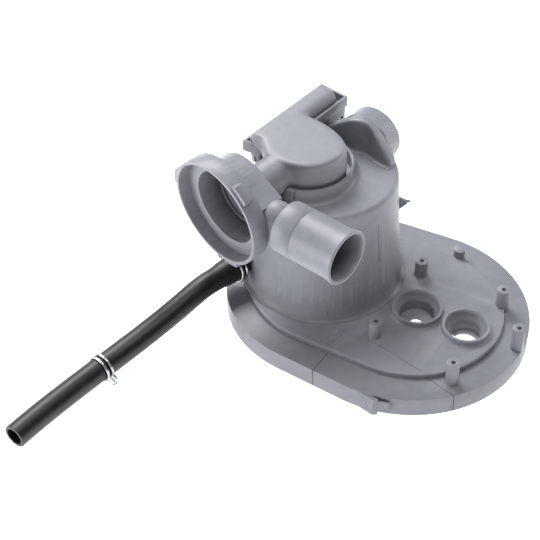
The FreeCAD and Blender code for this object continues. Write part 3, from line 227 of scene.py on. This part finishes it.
def addPiece(name, shape, slotName, replaced=(), body="base"):
    mesh = bpy.data.meshes.new(name)
    shape.to_mesh(mesh)
    shape.free()
    for polygon in mesh.polygons:
        polygon.use_smooth = True
    mesh.materials.clear()
    mesh.materials.append(slots[slotName])
    piece = bpy.data.objects.new(name, mesh)
    bpy.context.scene.collection.objects.link(piece)
    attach(piece, body)
    if replaced:
        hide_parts(*replaced)
    return piece


def closeUp(shape):
    bmesh.ops.remove_doubles(shape, verts=shape.verts, dist=cleaning["touch"] * mm)
    bmesh.ops.recalc_face_normals(shape, faces=shape.faces)
    return shape


def mergedCopy(nodeName):
    shape = bmesh.new()
    shape.from_mesh(nodes[nodeName].data)
    bmesh.ops.remove_doubles(shape, verts=shape.verts, dist=cleaning["weld"] * mm)
    bmesh.ops.dissolve_degenerate(shape, edges=shape.edges, dist=cleaning["sliver"] * mm)
    bmesh.ops.dissolve_limit(shape, angle_limit=math.radians(cleaning["flat"]), verts=shape.verts,
                             edges=shape.edges)
    return shape


def roundEdges(piece, width, angle=32):
    bevel = piece.modifiers.new("roundedEdges", "BEVEL")
    bevel.width = width * mm
    bevel.segments = 2
    bevel.limit_method = "ANGLE"
    bevel.angle_limit = math.radians(angle)
    bevel.use_clamp_overlap = True
    bevel.harden_normals = True


def turned(profile, place, steps=72):
    # Closed outline of (radius, height) swept once round the axis of a place
    shape = bmesh.new()
    corners = [shape.verts.new((radius * mm, 0, height * mm)) for radius, height in profile]
    rims = [shape.edges.new(pair) for pair in zip(corners, corners[1:] + corners[:1])]
    bmesh.ops.spin(shape, geom=corners + rims, cent=(0, 0, 0), axis=(0, 0, 1), angle=math.tau, steps=steps,
                   use_merge=True)
    closeUp(shape)
    bmesh.ops.transform(shape, matrix=place, verts=shape.verts)
    return shape


def flared(radius, reach, rise, place, sink=0.5, steps=72):
    # Concave foot that sweeps from an upright wall out to the face round it
    shape = bmesh.new()
    foot = shape.verts.new(((radius + reach) * mm, 0, 0))
    bmesh.ops.spin(shape, geom=[foot], cent=((radius + reach) * mm, 0, reach * mm), axis=(0, 1, 0),
                   angle=math.pi / 2, steps=6)
    bmesh.ops.scale(shape, vec=(1, 1, rise / reach), verts=shape.verts)
    shape.verts.ensure_lookup_table()
    top = max(shape.verts, key=lambda v: v.co.z)
    behind = shape.verts.new(((radius - sink) * mm, 0, rise * mm))
    below = shape.verts.new(((radius - sink) * mm, 0, -sink * mm))
    under = shape.verts.new(((radius + reach) * mm, 0, -sink * mm))
    for pair in ((top, behind), (behind, below), (below, under), (under, foot)):
        shape.edges.new(pair)
    bmesh.ops.spin(shape, geom=shape.verts[:] + shape.edges[:], cent=(0, 0, 0), axis=(0, 0, 1),
                   angle=math.tau, steps=steps, use_merge=True)
    closeUp(shape)
    bmesh.ops.transform(shape, matrix=place, verts=shape.verts)
    return shape


def rod(shape, radius, low, high, place, segments=96):
    made = bmesh.ops.create_cone(shape, cap_ends=True, segments=segments, radius1=radius * mm,
                                 radius2=radius * mm, depth=(high - low) * mm)
    middle = Matrix.Translation((0, 0, (low + high) / 2 * mm))
    bmesh.ops.transform(shape, matrix=place @ middle, verts=made["verts"])


def strut(shape, radius, start, end, segments, place=Matrix.Identity(4)):
    along = Vector(end) - Vector(start)
    turn = along.to_track_quat("Z", "Y").to_matrix().to_4x4()
    rod(shape, radius, 0, along.length, place @ Matrix.Translation(Vector(start) * mm) @ turn, segments)


def block(shape, corner, opposite, place):
    made = bmesh.ops.create_cube(shape, size=mm)
    size = [high - low for low, high in zip(corner, opposite)]
    middle = Vector([(high + low) / 2 for low, high in zip(corner, opposite)]) * mm
    bmesh.ops.scale(shape, vec=size, verts=made["verts"])
    bmesh.ops.transform(shape, matrix=place @ Matrix.Translation(middle), verts=made["verts"])


def prism(shape, outline, low, high):
    face = shape.faces.new([shape.verts.new((x * mm, y * mm, low * mm)) for x, y in outline])
    raised = bmesh.ops.extrude_face_region(shape, geom=[face])["geom"]
    upper = [v for v in raised if isinstance(v, bmesh.types.BMVert)]
    bmesh.ops.translate(shape, vec=(0, 0, (high - low) * mm), verts=upper)


def evaluated(piece):
    depsgraph = bpy.context.evaluated_depsgraph_get()
    return bpy.data.meshes.new_from_object(piece.evaluated_get(depsgraph))


def melted(shape, voxel, rounds):
    # One skin over overlapping blocks, with every corner run into a soft fillet
    bmesh.ops.recalc_face_normals(shape, faces=shape.faces)
    mesh = bpy.data.meshes.new("blocks")
    shape.to_mesh(mesh)
    shape.free()
    piece = bpy.data.objects.new("blocks", mesh)
    bpy.context.scene.collection.objects.link(piece)
    skin = piece.modifiers.new("skin", "REMESH")
    skin.mode = "VOXEL"
    skin.voxel_size = voxel * mm
    soft = piece.modifiers.new("soft", "SMOOTH")
    soft.factor = 0.5
    soft.iterations = rounds
    result = evaluated(piece)
    bpy.data.objects.remove(piece)
    smooth = bmesh.new()
    smooth.from_mesh(result)
    return smooth


def trimmed(shape, point, normal):
    # What lies on the far side of a plane is cut away, and the cut closed
    found = bmesh.ops.bisect_plane(shape, geom=shape.verts[:] + shape.edges[:] + shape.faces[:], dist=1e-7,
                                   plane_co=Vector(point) * mm, plane_no=normal, clear_outer=True)
    rims = [e for e in found["geom_cut"] if isinstance(e, bmesh.types.BMEdge)]
    bmesh.ops.edgenet_fill(shape, edges=rims)
    return shape


# Drain hose: rubber tube with a stretched cuff, and its two wire clamps

hose = {
    "outside": 9.0,
    "wall": 2.5,
    "cuff": 10.4,
    "cuffStart": 7.5,  # out from the root of the spigot
    "cuffEnd": 24.0,
    "cutEdge": 0.5,
    "route": [(-55.02, -64.21, 35.0), (-59.8, -79.5, 35.0), (-67.4, -101.5, 27.6), (-78.0, -124.4, 18.0),
              (-87.4, -150.2, 12.2), (-94.0, -179.3, 11.2), (-100.0, -210.5, 11.0), (-105.0, -236.4, 9.9),
              (-107.4, -252.8, 9.3)],
}


def hoseLine(name, radius=0.0):
    data = bpy.data.curves.new(name, "CURVE")
    data.dimensions = "3D"
    data.resolution_u = 16
    data.bevel_depth = radius * mm
    data.bevel_resolution = 8
    spline = data.splines.new("NURBS")
    mouth = spigotPlace @ Vector((0, 0, hose["cuffStart"] * mm))
    shoulder = spigotPlace @ Vector((0, 0, hose["cuffEnd"] * mm))
    route = [mouth, shoulder] + [Vector(point) * mm for point in hose["route"]]
    spline.points.add(len(route) - 1)
    for index, (point, place) in enumerate(zip(spline.points, route)):
        point.co = (*place, 1)
        point.radius = hose["cuff"] / hose["outside"] if index < 2 else 1.0
    spline.order_u = 3
    spline.use_endpoint_u = True
    piece = bpy.data.objects.new(name, data)
    bpy.context.scene.collection.objects.link(piece)
    return piece


def makeHose():
    line = hoseLine("hoseCentre")
    centre = evaluated(line)
    path = [tuple(v.co) for v in centre.vertices]
    bpy.data.objects.remove(line)
    skin = hoseLine("hoseSkin", hose["outside"])
    shape = bmesh.new()
    shape.from_mesh(evaluated(skin))
    bpy.data.objects.remove(skin)
    bmesh.ops.remove_doubles(shape, verts=shape.verts, dist=cleaning["weld"] * mm)
    bmesh.ops.recalc_face_normals(shape, faces=shape.faces)
    bmesh.ops.solidify(shape, geom=shape.faces[:], thickness=hose["wall"] * mm)
    bmesh.ops.recalc_face_normals(shape, faces=shape.faces)
    piece = addPiece("drainHose", shape, "black_rubber", ["drain_hose"])
    roundEdges(piece, hose["cutEdge"], 50)
    length = sum((Vector(b) - Vector(a)).length for a, b in zip(path, path[1:]))
    print("hose of", round(length / mm, 1), "mm")
    return piece, path, length


hosePiece, hosePath, hoseLength = makeHose()
clampPieces = [addPiece(name, mergedCopy(nodeName), "wire_steel", [nodeName])
               for name, nodeName in (("clampNear", "hose_clamp_near"), ("clampFar", "hose_clamp_far"))]
print("hose and clamps ready")


# Moulded shells that follow the solids, with their edges rounded

shells = {  # name of the piece: its solid, its slot, and the rounding of its edges
    "basePlate": ("base_plate", "grey_moulding", 0.45),
    "wellPot": ("sump_well", "grey_moulding", 0.45),
    "pumpHousing": ("pump_housing", "grey_moulding", 0.5),
    "ringLatch": ("ring_latch", "grey_moulding", 0.25),
    "drainSpigot": ("drain_spigot", "dark_moulding", 0.4),
    "voluteBack": ("volute_back", "dark_moulding", 0.4),
}
for name, (nodeName, slotName, width) in shells.items():
    roundEdges(addPiece(name, mergedCopy(nodeName), slotName, [nodeName]), width)

carriedOver = {  # solids shown as they are, and their slots
    "valve_seat": "dark_moulding",
    "valve_flap": "black_rubber",
    "valve_pin": "pin_steel",
    "duct_seal": "black_rubber",
    "tub_gasket": "black_rubber",
}
for nodeName, slotName in carriedOver.items():
    data = nodes[nodeName].data
    if not data.materials:
        data.materials.append(slots[slotName])
    for index in range(len(data.materials)):
        data.materials[index] = slots[slotName]
print("shells ready")


# Outlet: open tube, and the elbow that closes it behind the pump

outlet = {
    "radius": 19.2,
    "mouthRadius": 20.3,
    "bore": 17.2,
    "seam": -36.0,  # mould line, from the mouth
    "closedEnd": -52.8,
    "dome": (39.4, 8.0, -24.3),  # across and above the pump's axis, and behind the collar's face
    "domeRadius": 10.9,
    "drop": 16.0,
    "neck": ((26.0, -7.5, -32.0), (42.0, 3.0, -15.0)),
    "groove": 0.15,  # half the width of the mould line
    "cap": 2.4,  # wall of the closed end
    "voxel": 0.7,
    "rounds": 6,
    "steps": 96,
}


def makeOutlet():
    radius = outlet["radius"]
    bore = outlet["bore"]
    mouth = outlet["mouthRadius"]
    seam = outlet["seam"]
    end = outlet["closedEnd"]
    groove = outlet["groove"]
    inside = end + outlet["cap"]
    tube = [(bore, seam), (radius - groove, seam), (radius, seam + groove), (radius, -9.0),
            (radius + 0.3, -5.0), (mouth - 0.1, -1.5), (mouth, -0.8), (mouth - 0.4, 0), (bore + 1.0, 0),
            (bore + 0.5, -0.6), (bore, -3.0)]
    tubeShape = turned(tube, outletPlace, outlet["steps"])
    roundEdges(addPiece("outletTube", tubeShape, "grey_moulding", ["outlet_tube"]), 0.1)
    shelf = seam - 0.12
    cap = [(bore, shelf), (radius - groove, shelf), (radius, shelf - groove), (radius, end + 1.8),
           (radius - 0.5, end + 0.5), (radius - 1.8, end), (0.01, end), (0.01, inside), (bore - 1.2, inside),
           (bore, inside + 1.2)]
    addPiece("outletElbow", turned(cap, outletPlace, outlet["steps"]), "grey_moulding", ["outlet_elbow"])
    shape = bmesh.new()
    middle = pumpPlace @ Matrix.Translation(Vector(outlet["dome"]) * mm)
    down = middle @ Matrix.Rotation(-math.pi / 2, 4, "X")
    domeRadius = outlet["domeRadius"]
    bmesh.ops.create_uvsphere(shape, u_segments=48, v_segments=32, radius=domeRadius * mm, matrix=middle)
    rod(shape, domeRadius, -outlet["drop"], 0, down, segments=48)
    block(shape, *outlet["neck"], pumpPlace)
    addPiece("outletDome", melted(shape, outlet["voxel"], outlet["rounds"]), "grey_moulding")


makeOutlet()
print("outlet ready")


# Hook: upright gusset on the side of the well, with a small peg at its tip

hook = {
    "angle": 30.0,
    "outline": [(53.0, 90.8), (61.0, 86.4), (61.0, 84.4), (53.0, 77.0)],
    "thickness": 3.0,
    "pegRadius": 1.1,
    "pegHeight": 86.0,
    "pegReach": (56.0, 63.3),
    "edge": 0.3,
}


def makeHook():
    shape = bmesh.new()
    side = Matrix.Rotation(math.radians(hook["angle"]), 4, "Z")
    prism(shape, hook["outline"], -hook["thickness"] / 2, hook["thickness"] / 2)
    bmesh.ops.transform(shape, matrix=side @ Matrix.Rotation(math.pi / 2, 4, "X"), verts=shape.verts)
    pegPlace = side @ standingPlace(0, 0, hook["pegHeight"]) @ Matrix.Rotation(math.pi / 2, 4, "Y")
    rod(shape, hook["pegRadius"], *hook["pegReach"], pegPlace, segments=24)
    roundEdges(addPiece("hookBracket", closeUp(shape), "grey_moulding", ["hook_bracket"]), hook["edge"])


makeHook()
print("hook ready")


# Tray under the box branch: its near end slants, and a web closes it towards the far leg

tray = {
    "angle": branchAngle,
    "nearLeg": -26.4,  # end of the near leg, along the branch
    "slant": 40.0,  # across the branch; nearer than this the end wall is drawn back
    "drawnBack": 0.7,  # share of the way to the end of the leg
    "pad": 0.4,  # height that the near leg keeps under the floor
    "edge": 0.4,
    "floor": 129.4,
    "web": ((24.0, 26.9, 121.0), (55.3, 29.2, 129.6)),
    "loop": [(-27.8, 44.4, 118.0), (-25.6, 48.1, 129.6), (-24.2, 42.0, 118.0)],
    "loopRadius": 0.7,
}


def makeTray():
    branch = Matrix.Rotation(math.radians(tray["angle"]), 4, "Z")
    shape = mergedCopy("duct_tray")
    for vertex in shape.verts:
        local = branch.inverted() @ vertex.co / mm
        beyond = tray["nearLeg"] - local.x
        if beyond > 0 and local.z < tray["floor"] - tray["pad"]:
            vertex.co.z = (tray["floor"] - tray["pad"]) * mm
        if beyond > 0 and local.y < tray["slant"]:
            vertex.co += branch.to_3x3() @ Vector((tray["drawnBack"] * beyond, 0, 0)) * mm
    roundEdges(addPiece("ductTray", shape, "grey_moulding", ["duct_tray"]), tray["edge"])
    web = bmesh.new()
    block(web, *tray["web"], branch)
    roundEdges(addPiece("trayWeb", web, "grey_moulding"), tray["edge"])
    loop = bmesh.new()
    for start, end in zip(tray["loop"], tray["loop"][1:]):
        strut(loop, tray["loopRadius"], start, end, 16, branch)
    addPiece("trayLoop", loop, "grey_moulding")


makeTray()
print("tray ready")


# Duct cover: one flowing form from the nose to the box branch and the barrel

armSide = [(-30.0, 17.5), (-15.0, 16.0), (-7.0, 14.0), (1.0, 11.0)]  # straight side of the arm
duct = {
    "noseRadius": 30.6,
    "noseBase": 115.8,
    "top": 146.0,
    "branchAlong": (-31.5, 48.5),
    "branchAcross": (28.5, 47.5),
    "branchBase": 131.7,
    "branchRound": 6.5,
    "channel": [(-38.0, 18.0)] + armSide + [(5.0, -15.0), (-41.0, -15.0)],
    "channelBase": 127.4,
    "shoulder": [(-38.5, -12.0), (-38.5, -27.5), (-28.0, -38.5), (-18.0, -33.0), (-10.0, -12.0)],
    "shoulderBase": 131.8,
    "noseSide": armSide + [(9.3, 6.5), (15.5, 0.8), (22.0, -6.5)],  # run of cuts along the nose
    "barrelRadius": 14.5,
    "barrelReach": (-66.0, -30.4),  # behind the collar's face, along the pump's axis
    "voxel": 0.8,
    "rounds": 80,
}


def makeDuctCover():
    shape = bmesh.new()
    centre = standingPlace(*ringCentre, 0)
    rod(shape, duct["noseRadius"], duct["noseBase"] - sunk, duct["top"], centre)
    for start, end in zip(duct["noseSide"], duct["noseSide"][1:]):
        along = Vector((end[0] - start[0], end[1] - start[1], 0))
        trimmed(shape, (*start, 0), (-along.y, along.x, 0))
    near, far = duct["branchAlong"]
    right, left = duct["branchAcross"]
    base = duct["branchBase"]
    top = duct["top"]
    crown = duct["branchRound"]
    branch = Matrix.Rotation(math.radians(branchAngle), 4, "Z")
    block(shape, (near, right, base), (far, left, top - crown), branch)
    block(shape, (near, right + crown, base), (far, left - crown, top), branch)
    for side in (right + crown, left - crown):
        middle = Matrix.Translation(Vector((0, side, top - crown)) * mm)
        rod(shape, crown, near, far, branch @ middle @ Matrix.Rotation(math.pi / 2, 4, "Y"))
    prism(shape, duct["channel"], duct["channelBase"], top)
    prism(shape, duct["shoulder"], duct["shoulderBase"], top)
    rod(shape, duct["barrelRadius"], *duct["barrelReach"], pumpPlace)
    soft = melted(shape, duct["voxel"], duct["rounds"])
    trimmed(soft, (0, 0, duct["noseBase"]), (0, 0, -1))
    addPiece("ductCover", closeUp(soft), "grey_moulding", ["duct_cover"])


makeDuctCover()
print("duct cover ready")


# Hood: smooth hump from the top of the well to the angled tube

hood = {
    "outline": [(38.0, -9.0), (38.0, -1.6), (31.0, 4.6), (21.0, 13.6), (10.4, 21.4), (4.8, 24.0),
                (-1.0, 25.0), (-7.2, 23.6), (-13.0, 20.0), (-18.8, 14.6), (-23.6, 9.0), (-27.2, 4.2),
                (-29.6, 0.6), (-30.4, -9.0)],
    "along": (-25.4, -16.5),
    "overlap": 0.5,  # how far the tube runs on into the hump
    "hollow": (-7.0, 9.0, 3.4),  # where the front is drawn back: middle, half width and depth
    "hollowFade": (2.0, 5.0),  # where the drawing back starts behind the tube, and over what length it grows
    "proud": 0.08,  # its foot above the top of the well
    "tubeEdge": 0.4,
    "saddle": 50.0,  # patch of the well's top that the fillet runs out on
    "voxel": 0.7,
    "rounds": 50,
}


def makeHood():
    front, back = hood["along"]
    outward = hoodPlace.to_3x3() @ Vector((0, 0, 1))
    tube = mergedCopy("hood_tube")
    trimmed(tube, hoodPlace @ Vector((0, 0, (back - hood["overlap"]) * mm)) / mm, -outward)
    roundEdges(addPiece("hoodTube", closeUp(tube), "grey_moulding", ["hood_tube"]), hood["tubeEdge"])
    shape = bmesh.new()
    prism(shape, hood["outline"], front, back)
    bmesh.ops.transform(shape, matrix=hoodPlace, verts=shape.verts)
    rod(shape, hood["saddle"], wellTop - sunk, wellTop, standingPlace(0, 0, 0))
    soft = melted(shape, hood["voxel"], hood["rounds"])
    middle, half, depth = hood["hollow"]
    fadeStart, fadeLength = hood["hollowFade"]
    for vertex in soft.verts:
        local = hoodPlace.inverted() @ vertex.co / mm
        share = min(max((back - fadeStart - local.z) / fadeLength, 0.0), 1.0)
        vertex.co += outward * depth * mm * share * math.exp(-((local.x - middle) / half) ** 2)
    trimmed(soft, (0, 0, wellTop + hood["proud"]), (0, 0, -1))
    addPiece("hoodCover", closeUp(soft), "grey_moulding")


makeHood()
print("hood ready")


# Concave feet where walls meet the faces round them

feet = {  # name: radius of the wall, reach, rise, and the centre of its foot
    "wellFoot": (57.5, 5.6, 16.0, (0, 0, 20.0)),
    "ringFoot": (34.7, 4.5, 5.5, (*ringCentre, 115.0)),
    "largeCupFoot": (19.4, 1.6, 1.6, (84.0, -7.0, 20.0)),
    "smallCupFoot": (18.0, 1.6, 1.6, (124.3, -7.0, 20.0)),
}
bossFeet = {
    "radius": 4.9,
    "reach": 0.9,
    "rise": 1.6,
    "centres": [(69.0, 30.0, 20.0), (69.0, -46.0, 20.0), (136.5, 30.6, 15.6), (136.5, -57.0, 15.6)],
}
for name, (radius, reach, rise, centre) in feet.items():
    addPiece(name, flared(radius, reach, rise, standingPlace(*centre)), "grey_moulding")
for index, centre in enumerate(bossFeet["centres"], start=1):
    foot = flared(bossFeet["radius"], bossFeet["reach"], bossFeet["rise"], standingPlace(*centre), steps=32)
    addPiece("bossFoot%d" % index, foot, "grey_moulding")
print("feet ready")


# Sloping walls inside the two cups, from the rim down to the ledge

cups = {  # name: radius inside the rim, radius of the bore, and the centre
    "largeCupLiner": (17.5, 13.2, (84.0, -7.0)),
    "smallCupLiner": (16.1, 11.2, (124.3, -7.0)),
}
cupRim = 24.2
cupLedge = 16.9
for name, (mouth, bore, centre) in cups.items():
    slope = [(mouth - 0.3, cupRim), (mouth + 0.1, cupRim), (mouth + 0.1, cupLedge), (bore + 0.05, cupLedge),
             (bore + 0.3, cupLedge + 0.6), ((bore + mouth) / 2, cupLedge + 2.5),
             (mouth - 0.8, cupLedge + 4.9)]
    addPiece(name, turned(slope, standingPlace(*centre, 0)), "grey_moulding")
print("cup liners ready")


# Seams left by the mould: fine lines proud of the flange, the skirt and the wall of the well. Those drawn in
# the dark moulding, on the skirt, the flange and the plateau, are painted shade that falls along the seams

seams = {  # name: radius of the line, its slot, and the points that it passes
    # the dark moulding on these three lines is painted shade along the seams, not a colour of the plate
    "skirtSeamLeft": (0.2, "dark_moulding", [(45.0, -97.1, 0.6), (44.5, -97.1, 15.6), (45.9, -76.0, 15.6)]),
    "skirtSeamRight": (0.2, "dark_moulding",
                       [(144.3, -68.5, 0.6), (144.0, -68.8, 15.6), (118.6, -61.9, 15.6)]),
    "plateauSeamRight": (0.15, "dark_moulding", [(114.3, -62.2, 20.0), (75.6, -54.4, 20.0)]),
    "plateauRibLeft": (0.3, "grey_moulding", [(42.6, -72.4, 20.0), (44.4, -58.1, 20.0)]),
    "plateauRibRight": (0.3, "grey_moulding", [(45.2, -71.6, 20.0), (47.1, -57.7, 20.0)]),
    "wellRibFront": (0.25, "grey_moulding", [(29.7, -49.1, 41.0), (29.9, -49.5, 31.0), (30.6, -50.6, 25.0)]),
    "wellRibSide": (0.3, "grey_moulding", [(52.3, -15.2, 96.5), (54.2, -15.3, 61.5)]),
}
for name, (radius, slotName, points) in seams.items():
    seam = bmesh.new()
    for start, end in zip(points, points[1:]):
        strut(seam, radius, start, end, 12)
    addPiece(name, seam, slotName)
print("seams ready")


# Studio: pale glowing floor and soft lights, the strongest high on the left behind the part

studio = {
    "floor": 14.0,  # metres
    "floorColour": "#E9E9EA",
    "glow": 0.95,  # light table under the part
    "aim": (0, 0, 0.06),  # what the lights point at, in metres
    "key": {"place": (-0.8, 0.45, 1.2), "size": 0.9, "watts": 25.0},
    "top": {"place": (0.25, -0.1, 1.5), "size": 0.7, "watts": 7.0},
    "low": {"place": (-0.75, -0.85, 0.12), "size": 0.5, "watts": 7.0},
    "front": {"place": (0.15, -0.85, 1.2), "size": 0.6, "watts": 3.5},
    "rim": {"place": (0.7, 1.0, 0.45), "size": 0.7, "watts": 5.0},
    "sky": 0.1,
}


def makeFloor():
    shape = bmesh.new()
    bmesh.ops.create_grid(shape, x_segments=1, y_segments=1, size=studio["floor"] / 2)
    mesh = bpy.data.meshes.new("studioFloor")
    shape.to_mesh(mesh)
    shape.free()
    material, tree, output = newMaterial("paintedBoardMatt")  # matt white board, barely uneven
    place = addNode(tree, "ShaderNodeTexCoord").outputs["Object"]
    cloud = addNode(tree, "ShaderNodeTexNoise", {"Scale": 1 / (250 * mm)}, {"Vector": place})
    gloss = addNode(tree, "ShaderNodeMapRange", {"To Min": 0.75, "To Max": 0.85},
                    {"Value": cloud.outputs["Fac"]})
    shader = addNode(tree, "ShaderNodeBsdfPrincipled",
                     {"Base Color": colour(studio["floorColour"]), "Emission Color": colour("#FFFFFF"),
                      "Emission Strength": studio["glow"]},
                     {"Roughness": gloss.outputs["Result"]})
    tree.links.new(shader.outputs["BSDF"], output.inputs["Surface"])
    mesh.materials.append(material)
    floor = bpy.data.objects.new("studioFloor", mesh)
    bpy.context.scene.collection.objects.link(floor)


def makeLight(name, place, size, watts):
    data = bpy.data.lights.new(name, "AREA")
    data.shape = "SQUARE"
    data.size = size
    data.energy = watts
    lamp = bpy.data.objects.new(name, data)
    lamp.location = place
    lamp.rotation_euler = (Vector(studio["aim"]) - Vector(place)).to_track_quat("-Z", "Y").to_euler()
    bpy.context.scene.collection.objects.link(lamp)


def makeStudio():
    makeFloor()
    for name in ("key", "top", "low", "front", "rim"):
        makeLight(name + "Light", **studio[name])
    world = bpy.data.worlds.new("softSky")
    world.use_nodes = True
    backdrop = world.node_tree.nodes["Background"]
    backdrop.inputs["Color"].default_value = colour("#F4F6FA")
    backdrop.inputs["Strength"].default_value = studio["sky"]
    bpy.context.scene.world = world
    view = bpy.context.scene.view_settings
    view.view_transform = "Standard"
    view.look = "Medium High Contrast"


makeStudio()
print("studio ready")
